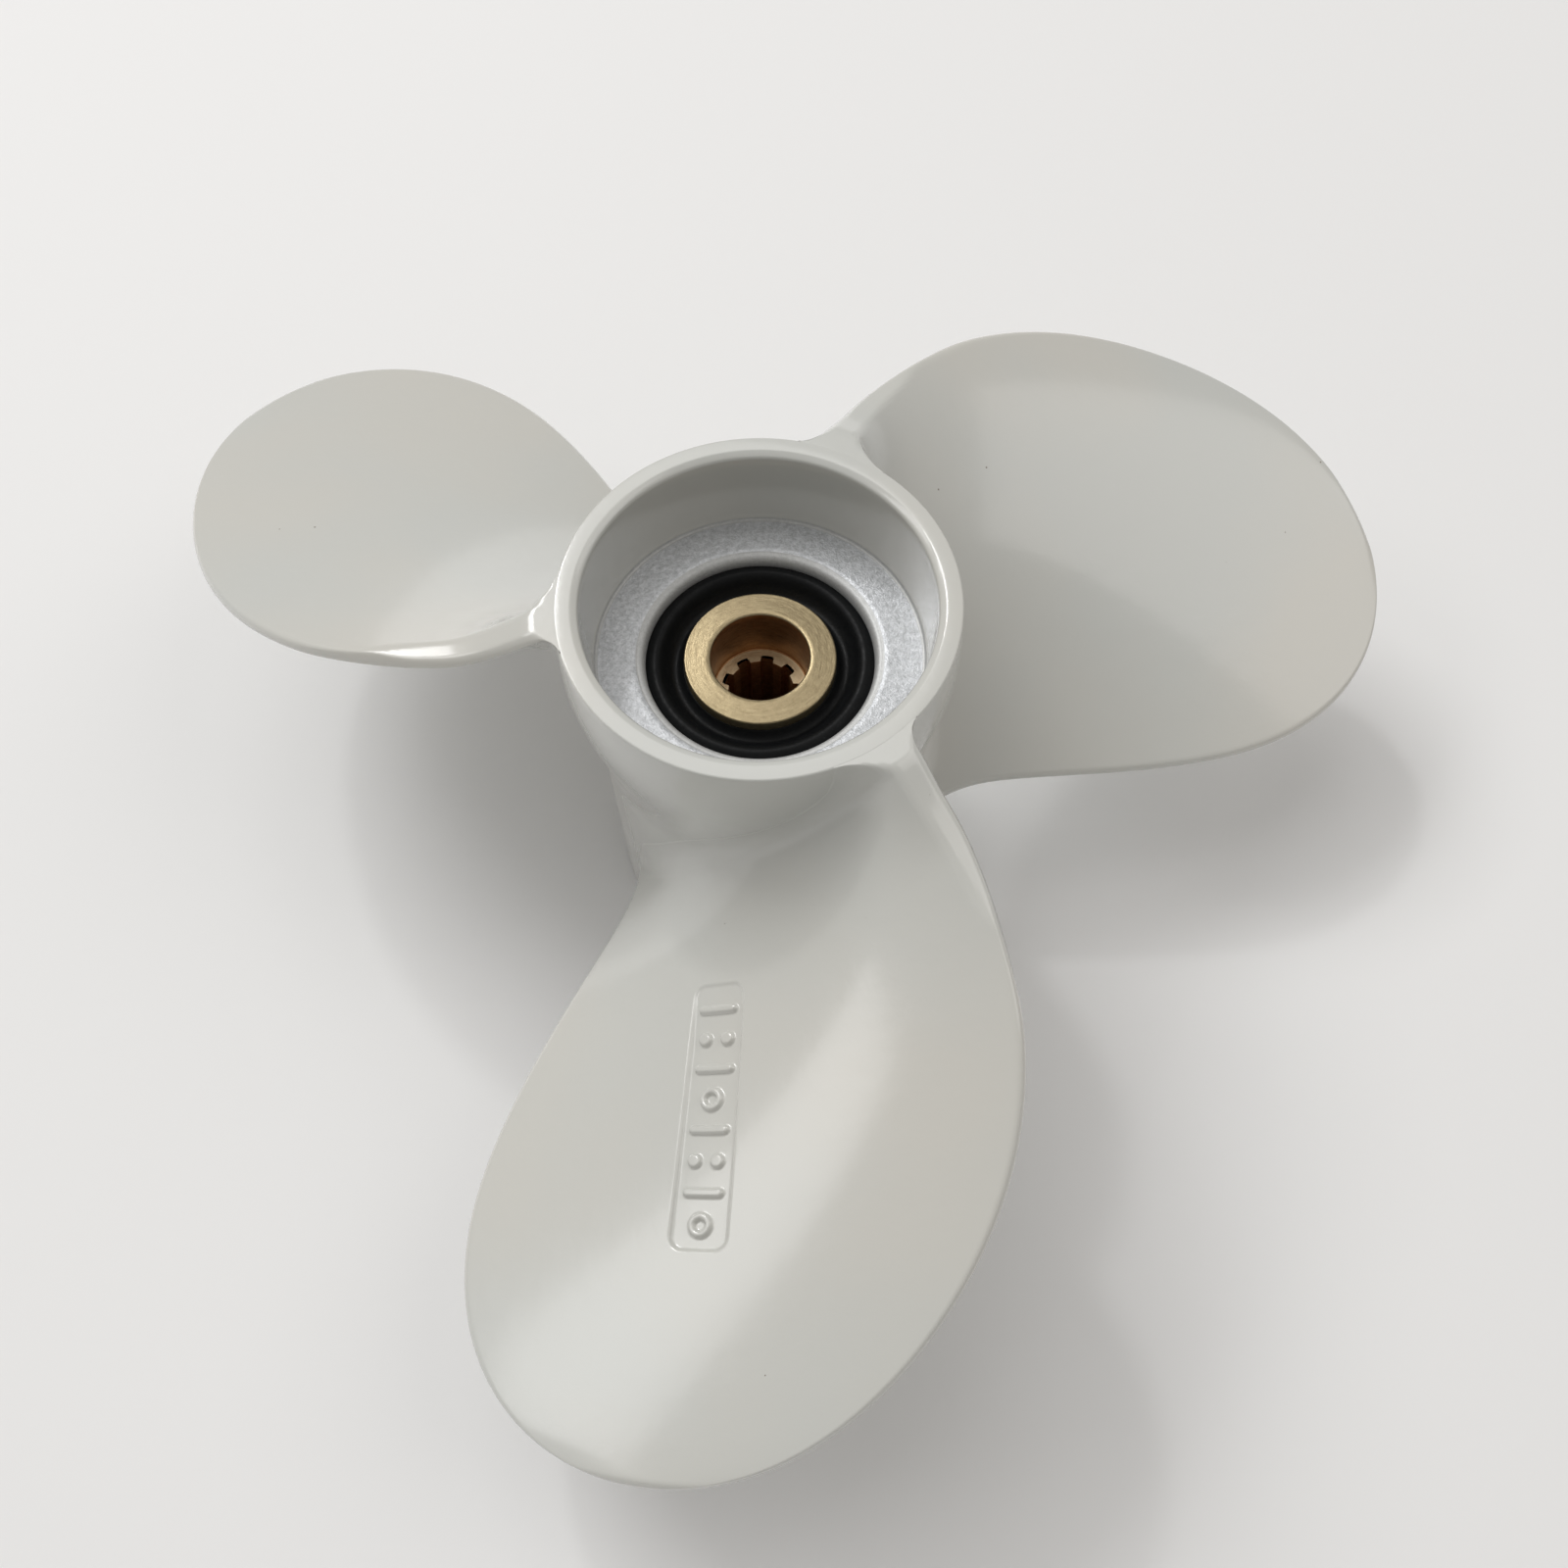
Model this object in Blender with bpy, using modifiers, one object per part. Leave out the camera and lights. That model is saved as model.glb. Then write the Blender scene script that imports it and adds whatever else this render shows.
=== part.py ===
"""Three-blade outboard propeller with a rubber-cushioned, splined hub.

The origin is the centre of the hub's rear face, on the shaft's axis. +Z runs along the
shaft towards the front face, which meets the gearcase. Lengths are metres, angles radians
unless a name says degrees.
"""

import math

import bmesh
import bpy
import numpy as np

MM = 0.001
INCH = 0.0254

# Driving dimensions of the propeller.
DIAMETER = 7.5 * INCH
PITCH = 7.0 * INCH
BLADE_COUNT = 3
HUB_LENGTH = 2.5 * INCH
GAP = 0.3 * MM

# Hub barrel: flared in front to meet the gearcase, straight behind.
RIM_RADIUS = 24.3 * MM
FLARE_RADIUS = 24.7 * MM
FLARE_DEPTH = 6.5 * MM
CONE_END_DEPTH = 29.0 * MM
BARREL_RADIUS = 21.8 * MM
RIM_INNER_RADIUS = 21.7 * MM
RIM_EDGE = 0.4 * MM
RECESS_DEPTH = 12.3 * MM
RECESS_RADIUS = 20.9 * MM
LIP_DEPTH = 13.0 * MM
BORE_RADIUS = 15.3 * MM
LIP_CHAMFER = 0.6 * MM
REAR_RECESS_DEPTH = 12.0 * MM
REAR_RECESS_RADIUS = 18.4 * MM

# Rubber bush.
BUSH_RADIUS = BORE_RADIUS - GAP
BUSH_FACE_DEPTH = 14.2 * MM
BUSH_CREST_RISE = 0.9 * MM
BUSH_EDGE = 1.2 * MM
BUSH_REAR_Z = 13.0 * MM

# Splined sleeve.
SLEEVE_RADIUS = 9.7 * MM
SLEEVE_FACE_DEPTH = 13.0 * MM
SLEEVE_REAR_Z = 9.0 * MM
SLEEVE_CHAMFER = 0.5 * MM
COUNTERBORE_RADIUS = 6.3 * MM
COUNTERBORE_DEPTH = 8.2 * MM
SPLINE_TIP_RADIUS = 4.2 * MM
SPLINE_ROOT_RADIUS = 5.1 * MM
SPLINE_COUNT = 9

# Blades. Angles run against the clockwise turn seen from the rear, from each leading edge.
FIRST_BLADE_ANGLE = math.radians(-45)
ROOT_PITCH = 0.984 * PITCH
TIP_PITCH = 0.906 * PITCH
BLADE_DROP = 0.9 * MM
RAKE = 0.0486
RAKE_CURVE = 0.575
ROOT_THICKNESS = 6.6 * MM
TIP_THICKNESS = 2.4 * MM
ROOT_EDGE_THICKNESS = 3.2 * MM
TIP_EDGE_THICKNESS = 1.8 * MM
ROOT_FLARE = 2.4 * MM
ROOT_FLARE_REACH = 3.5 * MM
ROOT_OVERLAP = 1.2 * MM
RIM_CLEARANCE = 0.15 * MM

# The blade's outline, unrolled: control points of one B-spline that runs from the leading
# edge's root, round the tip, to the trailing edge's root. Each is (arc length, radius).
OUTLINE_MM = (
    (0.2, 22.0),
    (-3.0, 36.0),
    (-10.6, 51.0),
    (-16.5, 60.5),
    (-33.5, 76.4),
    (-71.6, 95.4),
    (-104.4, 96.7),
    (-104.3, 77.0),
    (-44.2, 31.2),
    (-36.5, 24.2),
    (-36.5, 19.0),
)

# Mesh fineness.
BARREL_STEPS = 72
SLEEVE_STEPS = 54
BLADE_STATIONS = 14
CHORD_STEPS = 12
OUTLINE_SAMPLES = 400


def clear_scene():
    """Removes every object of the open file."""
    for old in list(bpy.data.objects):
        bpy.data.objects.remove(old, do_unlink=True)


def make_collection(name):
    """Adds a collection of that name to the scene."""
    collection = bpy.data.collections.new(name)
    bpy.context.scene.collection.children.link(collection)
    return collection


def make_material(name, colour, roughness, metallic):
    """Makes a Principled material."""
    material = bpy.data.materials.new(name)
    material.use_nodes = True
    shader = material.node_tree.nodes["Principled BSDF"]
    shader.inputs["Base Color"].default_value = (*colour, 1.0)
    shader.inputs["Roughness"].default_value = roughness
    shader.inputs["Metallic"].default_value = metallic
    return material


def add_object(name, mesh, collection, material=None):
    """Puts a mesh into the scene as a named object."""
    obj = bpy.data.objects.new(name, mesh)
    collection.objects.link(obj)
    if material:
        mesh.materials.append(material)
    return obj


def turned(name, profile, steps, collection, material=None):
    """Turns a closed profile of (radius, height) points about the Z axis.

    The profile runs down its outer side from the top and back up its inner side.
    """
    mesh = bpy.data.meshes.new(name)
    points = [(radius, 0.0, height) for radius, height in profile]
    edges = [(i, (i + 1) % len(points)) for i in range(len(points))]
    mesh.from_pydata(points, edges, [])
    obj = add_object(name, mesh, collection, material)
    screw = obj.modifiers.new("turn", "SCREW")
    screw.axis = "Z"
    screw.steps = steps
    screw.render_steps = steps
    screw.use_merge_vertices = True
    screw.merge_threshold = 0.00001
    screw.use_smooth_shade = True
    return obj


def arc(centre_radius, centre_height, radius, start_degrees, end_degrees, steps):
    """Points of an arc in the (radius, height) plane."""
    angles = np.radians(np.linspace(start_degrees, end_degrees, steps + 1))
    return [
        (centre_radius + radius * math.cos(a), centre_height + radius * math.sin(a))
        for a in angles
    ]


def barrel_radius(height):
    """Outer radius of the hub at a height: flare, cone with eased ends, then cylinder."""
    depth = HUB_LENGTH - np.asarray(height, dtype=float)
    swell = np.sin(0.5 * np.pi * np.clip(depth / FLARE_DEPTH, 0.0, 1.0))
    front = RIM_RADIUS + (FLARE_RADIUS - RIM_RADIUS) * swell
    along = np.clip((depth - FLARE_DEPTH) / (CONE_END_DEPTH - FLARE_DEPTH), 0.0, 1.0)
    eased = 0.5 - 0.5 * np.cos(np.pi * along)
    return front + (BARREL_RADIUS - FLARE_RADIUS) * eased


def b_spline(points, samples):
    """Samples a clamped uniform cubic B-spline through its ends."""
    points = np.asarray(points, dtype=float)
    spans = len(points) - 3
    knots = np.concatenate([np.zeros(3), np.linspace(0.0, 1.0, spans + 1), np.ones(3)])
    t = np.linspace(0.0, 1.0, samples)
    t_inside = np.minimum(t, 1.0 - 1e-9)
    basis = [
        ((knots[i] <= t_inside) & (t_inside < knots[i + 1])).astype(float)
        for i in range(len(knots) - 1)
    ]
    for degree in (1, 2, 3):
        raised = []
        for i in range(len(basis) - 1):
            rise = knots[i + degree] - knots[i]
            fall = knots[i + degree + 1] - knots[i + 1]
            left = (t_inside - knots[i]) / rise * basis[i] if rise else 0.0
            right = (knots[i + degree + 1] - t_inside) / fall * basis[i + 1] if fall else 0.0
            raised.append(left + right)
        basis = raised
    return np.stack(basis, axis=1) @ points


def edge_angles(radii):
    """Angles of the leading and the trailing edge at each radius."""
    outline = b_spline(OUTLINE_MM, OUTLINE_SAMPLES) * MM
    arc_length, radius = outline[:, 0], outline[:, 1]
    scale = 0.5 * DIAMETER / radius.max()
    angle = arc_length / radius
    tip = int(np.argmax(radius))
    leading = np.interp(radii, radius[: tip + 1] * scale, angle[: tip + 1])
    trailing = np.interp(radii, radius[tip:][::-1] * scale, angle[tip:][::-1])
    return leading, trailing


def helix_rate(radius):
    """Rise of the blade's surface for each radian, at a radius."""
    share = (radius - RIM_RADIUS) / (0.5 * DIAMETER - RIM_RADIUS)
    return (ROOT_PITCH + (TIP_PITCH - ROOT_PITCH) * share) / (2.0 * math.pi)


def blade_surface(radius, angle):
    """Height of the blade's middle surface: a screw surface, raked towards the rear."""
    out = radius - RIM_RADIUS
    rake = RAKE * out + RAKE_CURVE * out**2
    return HUB_LENGTH - BLADE_DROP + helix_rate(radius) * angle - rake


def half_thickness(radius, from_leading, from_trailing, chord):
    """Half the blade's thickness: a thick middle, blunt edges with round noses, a root flare."""
    share = np.clip((radius - RIM_RADIUS) / (0.5 * DIAMETER - RIM_RADIUS), 0.0, 1.0)
    middle = ROOT_THICKNESS + (TIP_THICKNESS - ROOT_THICKNESS) * np.sqrt(share)
    edge = ROOT_EDGE_THICKNESS + (TIP_EDGE_THICKNESS - ROOT_EDGE_THICKNESS) * share
    bulge = 4.0 * from_leading * from_trailing / np.maximum(chord, 1e-9) ** 2
    inside = np.minimum(np.minimum(from_leading, from_trailing), 0.5 * DIAMETER - radius)
    nose_run = np.clip(inside / (0.6 * edge), 0.0, 1.0)
    nose = np.sqrt(1.0 - (1.0 - nose_run) ** 2)
    flare = ROOT_FLARE * np.exp(-np.maximum(radius - BARREL_RADIUS, 0.0) / ROOT_FLARE_REACH)
    return 0.5 * nose * (edge + (middle - edge) * bulge) + flare * nose * bulge


def blade_points(start_angle, side):
    """Grid of points of one face of a blade; side is 1 for the front, -1 for the rear."""
    station = np.sin(0.5 * np.pi * np.linspace(0.0, 1.0, BLADE_STATIONS + 1))
    share = 0.5 - 0.5 * np.cos(np.pi * np.linspace(0.0, 1.0, CHORD_STEPS + 1))
    root = BARREL_RADIUS - ROOT_OVERLAP
    radius = root + (0.5 * DIAMETER - root) * station[:, None] + 0.0 * share
    leading, trailing = edge_angles(radius[:, 0])
    angle = leading[:, None] + (trailing - leading)[:, None] * share
    buried = barrel_radius(blade_surface(radius[:1], angle[:1])) - ROOT_OVERLAP
    radius = np.maximum(radius, buried)
    chord = radius * (leading - trailing)[:, None]
    height = blade_surface(radius, angle)
    thick = half_thickness(radius, chord * share, chord * (1.0 - share), chord)
    rate = helix_rate(radius)
    slope = np.hypot(rate, radius)
    angle = angle - side * thick * rate / (slope * radius)
    height = height + side * thick * radius / slope
    height = np.minimum(height, HUB_LENGTH - RIM_CLEARANCE)
    turn = start_angle + angle
    return np.stack([radius * np.cos(turn), radius * np.sin(turn), height], axis=2)


def make_blade(name, start_angle, collection):
    """Lofts one blade: a front and a rear grid that share the outline, and a root cap."""
    rows, columns = BLADE_STATIONS + 1, CHORD_STEPS + 1
    points = np.concatenate([
        blade_points(start_angle, 1).reshape(-1, 3),
        blade_points(start_angle, -1).reshape(-1, 3),
    ])
    front = np.arange(rows * columns).reshape(rows, columns)
    rear = front + rows * columns
    faces = []
    for i in range(rows - 1):
        for j in range(columns - 1):
            faces.append((front[i, j], front[i, j + 1], front[i + 1, j + 1], front[i + 1, j]))
            faces.append((rear[i, j], rear[i + 1, j], rear[i + 1, j + 1], rear[i, j + 1]))
    for j in range(columns - 1):
        faces.append((front[0, j], rear[0, j], rear[0, j + 1], front[0, j + 1]))
    mesh = bpy.data.meshes.new(name)
    mesh.from_pydata(points.tolist(), [], [tuple(map(int, face)) for face in faces])
    shape = bmesh.new()
    shape.from_mesh(mesh)
    bmesh.ops.remove_doubles(shape, verts=shape.verts, dist=0.00002)
    bmesh.ops.dissolve_degenerate(shape, edges=shape.edges, dist=0.00001)
    bmesh.ops.recalc_face_normals(shape, faces=shape.faces)
    shape.to_mesh(mesh)
    shape.free()
    blade = add_object(name, mesh, collection)
    blade.hide_render = True
    blade.display_type = "WIRE"
    return blade


def add_boolean(obj, cutter, operation):
    """Adds a live Boolean with another object."""
    boolean = obj.modifiers.new(cutter.name, "BOOLEAN")
    boolean.operation = operation
    boolean.solver = "EXACT"
    boolean.object = cutter


def make_casting(collection, cutters):
    """The aluminium casting: hub barrel, web and blades in one piece."""
    top = HUB_LENGTH
    outer_heights = np.linspace(top - RIM_EDGE, RIM_EDGE, 15)
    profile = [(RIM_RADIUS - RIM_EDGE, top)]
    profile += [(float(barrel_radius(z)), float(z)) for z in outer_heights]
    profile += [
        (BARREL_RADIUS - RIM_EDGE, 0.0),
        (REAR_RECESS_RADIUS + RIM_EDGE, 0.0),
        (REAR_RECESS_RADIUS, RIM_EDGE),
        (REAR_RECESS_RADIUS - RIM_EDGE, REAR_RECESS_DEPTH),
        (BORE_RADIUS, REAR_RECESS_DEPTH),
        (BORE_RADIUS, top - LIP_DEPTH - LIP_CHAMFER),
        (BORE_RADIUS + LIP_CHAMFER, top - LIP_DEPTH),
        (RECESS_RADIUS, top - RECESS_DEPTH),
        (RIM_INNER_RADIUS, top - RIM_EDGE),
        (RIM_INNER_RADIUS + RIM_EDGE, top),
    ]
    paint = make_material("white_paint", (0.74, 0.73, 0.70), 0.22, 0.0)
    casting = turned("propeller_casting", profile, BARREL_STEPS, collection, paint)
    for i in range(BLADE_COUNT):
        start = FIRST_BLADE_ANGLE + i * 2.0 * math.pi / BLADE_COUNT
        add_boolean(casting, make_blade(f"blade_{i + 1}", start, cutters), "UNION")
    return casting


def make_bush(collection):
    """The rubber bush between the sleeve and the casting, with a rounded rib on each end."""
    face = HUB_LENGTH - BUSH_FACE_DEPTH
    inner = SLEEVE_RADIUS + GAP
    middle = 0.5 * (inner + BUSH_RADIUS)
    reach = 0.5 * (BUSH_RADIUS - inner)
    share = np.linspace(-1.0, 1.0, 9)
    radii = middle + reach * share
    rises = BUSH_CREST_RISE * np.cos(0.5 * np.pi * share) ** 2
    front = [(float(r), float(face - BUSH_EDGE * abs(s) ** 6 + rise))
             for r, s, rise in zip(radii, share, rises)]
    rear = [(r, BUSH_REAR_Z + face - z) for r, z in front]
    rubber = make_material("bush_rubber", (0.012, 0.013, 0.014), 0.6, 0.0)
    profile = front + rear[::-1]
    return turned("rubber_bush", profile, SLEEVE_STEPS, collection, rubber)


def spline_cutter(cutters):
    """Nine long blocks, one for each groove between the teeth of the bore."""
    shape = bmesh.new()
    groove_inner = 0.85 * SPLINE_TIP_RADIUS
    groove_depth = SPLINE_ROOT_RADIUS - groove_inner
    groove_width = math.pi * SPLINE_TIP_RADIUS / SPLINE_COUNT
    length = HUB_LENGTH
    for i in range(SPLINE_COUNT):
        block = bmesh.ops.create_cube(shape, size=1.0)["verts"]
        bmesh.ops.scale(shape, vec=(groove_depth, groove_width, length), verts=block)
        out = (groove_inner + 0.5 * groove_depth, 0.0, 0.5 * length)
        bmesh.ops.translate(shape, vec=out, verts=block)
        turn = -2.0 * math.pi * i / SPLINE_COUNT
        cos, sin = math.cos(turn), math.sin(turn)
        for vert in block:
            x, y = vert.co.x, vert.co.y
            vert.co.x = x * cos - y * sin
            vert.co.y = x * sin + y * cos
    mesh = bpy.data.meshes.new("spline_grooves")
    shape.to_mesh(mesh)
    shape.free()
    cutter = add_object("spline_grooves", mesh, cutters)
    cutter.hide_render = True
    cutter.display_type = "WIRE"
    return cutter


def make_sleeve(collection, cutters):
    """The brass sleeve: counterbored in front, splined over the rest of its bore."""
    face = HUB_LENGTH - SLEEVE_FACE_DEPTH
    shoulder = face - COUNTERBORE_DEPTH
    profile = [
        (SLEEVE_RADIUS - SLEEVE_CHAMFER, face),
        (SLEEVE_RADIUS, face - SLEEVE_CHAMFER),
        (SLEEVE_RADIUS, SLEEVE_REAR_Z + SLEEVE_CHAMFER),
        (SLEEVE_RADIUS - SLEEVE_CHAMFER, SLEEVE_REAR_Z),
        (SPLINE_TIP_RADIUS + SLEEVE_CHAMFER, SLEEVE_REAR_Z),
        (SPLINE_TIP_RADIUS, SLEEVE_REAR_Z + SLEEVE_CHAMFER),
        (SPLINE_TIP_RADIUS, shoulder),
        (COUNTERBORE_RADIUS - SLEEVE_CHAMFER, shoulder),
        (COUNTERBORE_RADIUS, shoulder + SLEEVE_CHAMFER),
        (COUNTERBORE_RADIUS, face - SLEEVE_CHAMFER),
        (COUNTERBORE_RADIUS + SLEEVE_CHAMFER, face),
    ]
    brass = make_material("sleeve_brass", (0.62, 0.42, 0.20), 0.35, 1.0)
    sleeve = turned("splined_sleeve", profile, SLEEVE_STEPS, collection, brass)
    add_boolean(sleeve, spline_cutter(cutters), "DIFFERENCE")
    return sleeve


def main():
    """Builds the three pieces of the propeller."""
    clear_scene()
    collection = make_collection("boat_propeller")
    cutters = make_collection("cutters")
    make_casting(collection, cutters)
    make_bush(collection)
    make_sleeve(collection, cutters)


main()
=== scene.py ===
"""Finished look of a three-blade outboard propeller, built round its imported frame.

The painted casting is made as four meshes that share one paint: the turned hub and three
lofted blades, whose roots flow into the hub with cast fillets. The rubber bush and the brass
splined sleeve are turned and lofted too. Lengths are metres, +Z runs along the shaft towards
the front rim, and every mesh holds its own place, so each object sits at the origin.
"""

import logging
import math
from dataclasses import dataclass, field
from enum import Enum

import bmesh
import bpy
import numpy as np
from mathutils import Matrix


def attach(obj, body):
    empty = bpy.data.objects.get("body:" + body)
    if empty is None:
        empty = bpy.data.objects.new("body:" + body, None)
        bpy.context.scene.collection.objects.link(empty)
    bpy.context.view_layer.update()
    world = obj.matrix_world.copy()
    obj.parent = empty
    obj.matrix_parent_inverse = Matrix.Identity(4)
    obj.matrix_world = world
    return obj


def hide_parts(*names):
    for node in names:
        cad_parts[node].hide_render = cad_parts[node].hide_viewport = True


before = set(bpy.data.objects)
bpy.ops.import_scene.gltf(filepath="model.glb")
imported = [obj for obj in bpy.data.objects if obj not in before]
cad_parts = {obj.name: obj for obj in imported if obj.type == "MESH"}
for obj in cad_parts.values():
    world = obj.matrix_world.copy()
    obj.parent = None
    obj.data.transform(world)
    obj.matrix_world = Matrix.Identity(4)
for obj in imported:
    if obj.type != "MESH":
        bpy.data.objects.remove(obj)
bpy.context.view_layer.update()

MM = 0.001
INCH = 0.0254
LOG = logging.getLogger("propeller")

Array = np.ndarray
Tree = bpy.types.NodeTree
Node = bpy.types.Node
Socket = bpy.types.NodeSocket
Material = bpy.types.Material
Colour = tuple[float, float, float, float]
Place = tuple[float, float]
Spot = tuple[float, float, float]


# ---------------------------------------------------------------- numbers and curves


def smoothstep(x: Array, low: float = 0.0, high: float = 1.0) -> Array:
    """Eased step: 3 t^2 - 2 t^3 with t running from 0 at low to 1 at high.

    Args:
        x: Values to step.
        low: Value where the step starts.
        high: Value where the step is complete.

    Returns:
        The step at each value, from 0 to 1.
    """
    t = np.clip((np.asarray(x, dtype=float) - low) / (high - low), 0.0, 1.0)
    return t * t * (3.0 - 2.0 * t)


def smooth_min(a: Array, b: Array | float, blend: float) -> Array:
    """Smaller of a and b, rounded where they meet: min(a, b) - h^2 / (4 blend).

    h is how far |a - b| falls short of the blend length.

    Args:
        a: Values to limit.
        b: The limit.
        blend: Length over which the corner is rounded.

    Returns:
        The limited values.
    """
    short = np.maximum(blend - np.abs(a - b), 0.0)
    return np.minimum(a, b) - short * short / (4.0 * blend)


def b_spline(points: Array, samples: int) -> Array:
    """Samples a clamped uniform cubic B-spline.

    Args:
        points: Control points, one row each.
        samples: Number of points to return.

    Returns:
        Points along the curve, evenly spaced in its parameter.
    """
    points = np.asarray(points, dtype=float)
    spans = len(points) - 3
    knots = np.concatenate([np.zeros(3), np.linspace(0.0, 1.0, spans + 1), np.ones(3)])
    t = np.minimum(np.linspace(0.0, 1.0, samples), 1.0 - 1e-9)
    basis = [((knots[i] <= t) & (t < knots[i + 1])).astype(float) for i in range(len(knots) - 1)]
    for degree in (1, 2, 3):
        raised = []
        for i in range(len(basis) - 1):
            rise = knots[i + degree] - knots[i]
            fall = knots[i + degree + 1] - knots[i + 1]
            left = (t - knots[i]) / rise * basis[i] if rise else 0.0
            right = (knots[i + degree + 1] - t) / fall * basis[i + 1] if fall else 0.0
            raised.append(left + right)
        basis = raised
    return np.stack(basis, axis=1) @ points


# ---------------------------------------------------------------- meshes


def mesh_object(
    name: str, points: Array, quads: Array, sharp_degrees: float = 40.0, merge: bool = False
) -> bpy.types.Object:
    """Makes an object at the origin from points and quads, shaded smooth.

    Args:
        name: The piece's name.
        points: Vertex places, (n, 3).
        quads: Vertex numbers, (m, 4).
        sharp_degrees: Edges that turn by more than this stay sharp.
        merge: Whether points that lie on each other are joined, which closes poles and seams.

    Returns:
        The new object, linked to the scene.
    """
    mesh = bpy.data.meshes.new(name)
    mesh.vertices.add(len(points))
    mesh.vertices.foreach_set("co", points.astype(np.float32).ravel())
    mesh.loops.add(quads.size)
    mesh.loops.foreach_set("vertex_index", quads.astype(np.int32).ravel())
    mesh.polygons.add(len(quads))
    mesh.polygons.foreach_set("loop_start", np.arange(0, quads.size, 4, dtype=np.int32))
    mesh.update(calc_edges=True)
    mesh.validate()
    if merge:
        whole = bmesh.new()
        whole.from_mesh(mesh)
        bmesh.ops.remove_doubles(whole, verts=whole.verts, dist=1e-6)
        bmesh.ops.recalc_face_normals(whole, faces=whole.faces)
        whole.to_mesh(mesh)
        whole.free()
    mesh.shade_smooth()
    mesh.set_sharp_from_angle(angle=math.radians(sharp_degrees))
    piece = bpy.data.objects.new(name, mesh)
    bpy.context.scene.collection.objects.link(piece)
    return piece


def grid_quads(rows: int, columns: int, wrap_columns: bool, wrap_rows: bool = False) -> Array:
    """Vertex numbers of the quads of a grid stored row by row.

    Args:
        rows: Number of rows of points.
        columns: Number of points in each row.
        wrap_columns: Whether the last column joins the first.
        wrap_rows: Whether the last row joins the first.

    Returns:
        (m, 4) vertex numbers, turning from the row direction to the column direction.
    """
    i = np.arange(rows if wrap_rows else rows - 1)[:, None]
    j = np.arange(columns if wrap_columns else columns - 1)[None, :]
    i_next, j_next = (i + 1) % rows, (j + 1) % columns
    corners = [i * columns + j, i * columns + j_next, i_next * columns + j_next, i_next * columns + j]
    return np.stack([np.broadcast_to(c, (len(i), j.shape[1])).ravel() for c in corners], axis=1)


def turned_grid(profile: Array, steps: int) -> Array:
    """Turns (radius, height) points about Z: x = r cos a, y = r sin a, z = height.

    Args:
        profile: Points of the outline, (n, 2).
        steps: Number of steps in a full turn.

    Returns:
        (n, steps, 3) points.
    """
    angle = np.linspace(0.0, 2.0 * np.pi, steps, endpoint=False)
    radius, height = profile[:, :1], profile[:, 1:]
    return np.stack([radius * np.cos(angle), radius * np.sin(angle), height + 0.0 * angle], axis=2)


@dataclass
class Outline:
    """A turned piece's outline in the (radius, height) plane, drawn point by point.

    Attributes:
        points: The points so far.
        sections: Number of the material that each stretch has, one for each point.
    """

    points: list[Place] = field(default_factory=list)
    sections: list[int] = field(default_factory=list)

    def to(self, radius: float, height: float, section: int = 0, steps: int = 1) -> None:
        """Draws a straight line to a point.

        Args:
            radius: Radius of the end.
            height: Height of the end.
            section: Number of the material of this stretch.
            steps: Number of points along it.
        """
        start = self.points[-1] if self.points else (radius, height)
        for t in np.linspace(0.0, 1.0, steps + 1)[1:]:
            self.points.append((start[0] + (radius - start[0]) * t, start[1] + (height - start[1]) * t))
            self.sections.append(section)

    def round_to(self, corner: Place, end: Place, section: int = 0, steps: int = 5) -> None:
        """Draws a rounded corner: the quadratic curve from the last point to the end.

        Args:
            corner: The sharp corner that the curve rounds off.
            end: Where the curve ends.
            section: Number of the material of this stretch.
            steps: Number of points along it.
        """
        start = np.array(self.points[-1])
        for t in np.linspace(0.0, 1.0, steps + 1)[1:]:
            place = (1 - t) ** 2 * start + 2 * t * (1 - t) * np.array(corner) + t * t * np.array(end)
            self.points.append((float(place[0]), float(place[1])))
            self.sections.append(section)


def turned_piece(
    name: str, outline: Outline, steps: int, sharp_degrees: float, points: Array | None = None
) -> bpy.types.Object:
    """Turns a closed outline into a piece; material numbers follow the outline's sections.

    Args:
        name: The piece's name.
        outline: Outline that runs down the outer side from the top and back up the inner side.
        steps: Steps in a full turn.
        sharp_degrees: Edges that turn by more than this stay sharp.
        points: The turned points, where some of them have been moved.

    Returns:
        The piece.
    """
    if points is None:
        points = turned_grid(np.array(outline.points), steps)
    quads = grid_quads(len(points), steps, wrap_columns=True, wrap_rows=True)[:, ::-1]
    piece = mesh_object(name, points.reshape(-1, 3), quads, sharp_degrees)
    sections = np.repeat(np.roll(np.array(outline.sections), -1), steps)
    piece.data.polygons.foreach_set("material_index", sections.astype(np.int32))
    return piece


# ---------------------------------------------------------------- hub


class HubSurface(Enum):
    """The finishes on the hub, in the order of its material slots."""

    PAINT = 0
    CAST = 1
    LIP = 2


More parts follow.
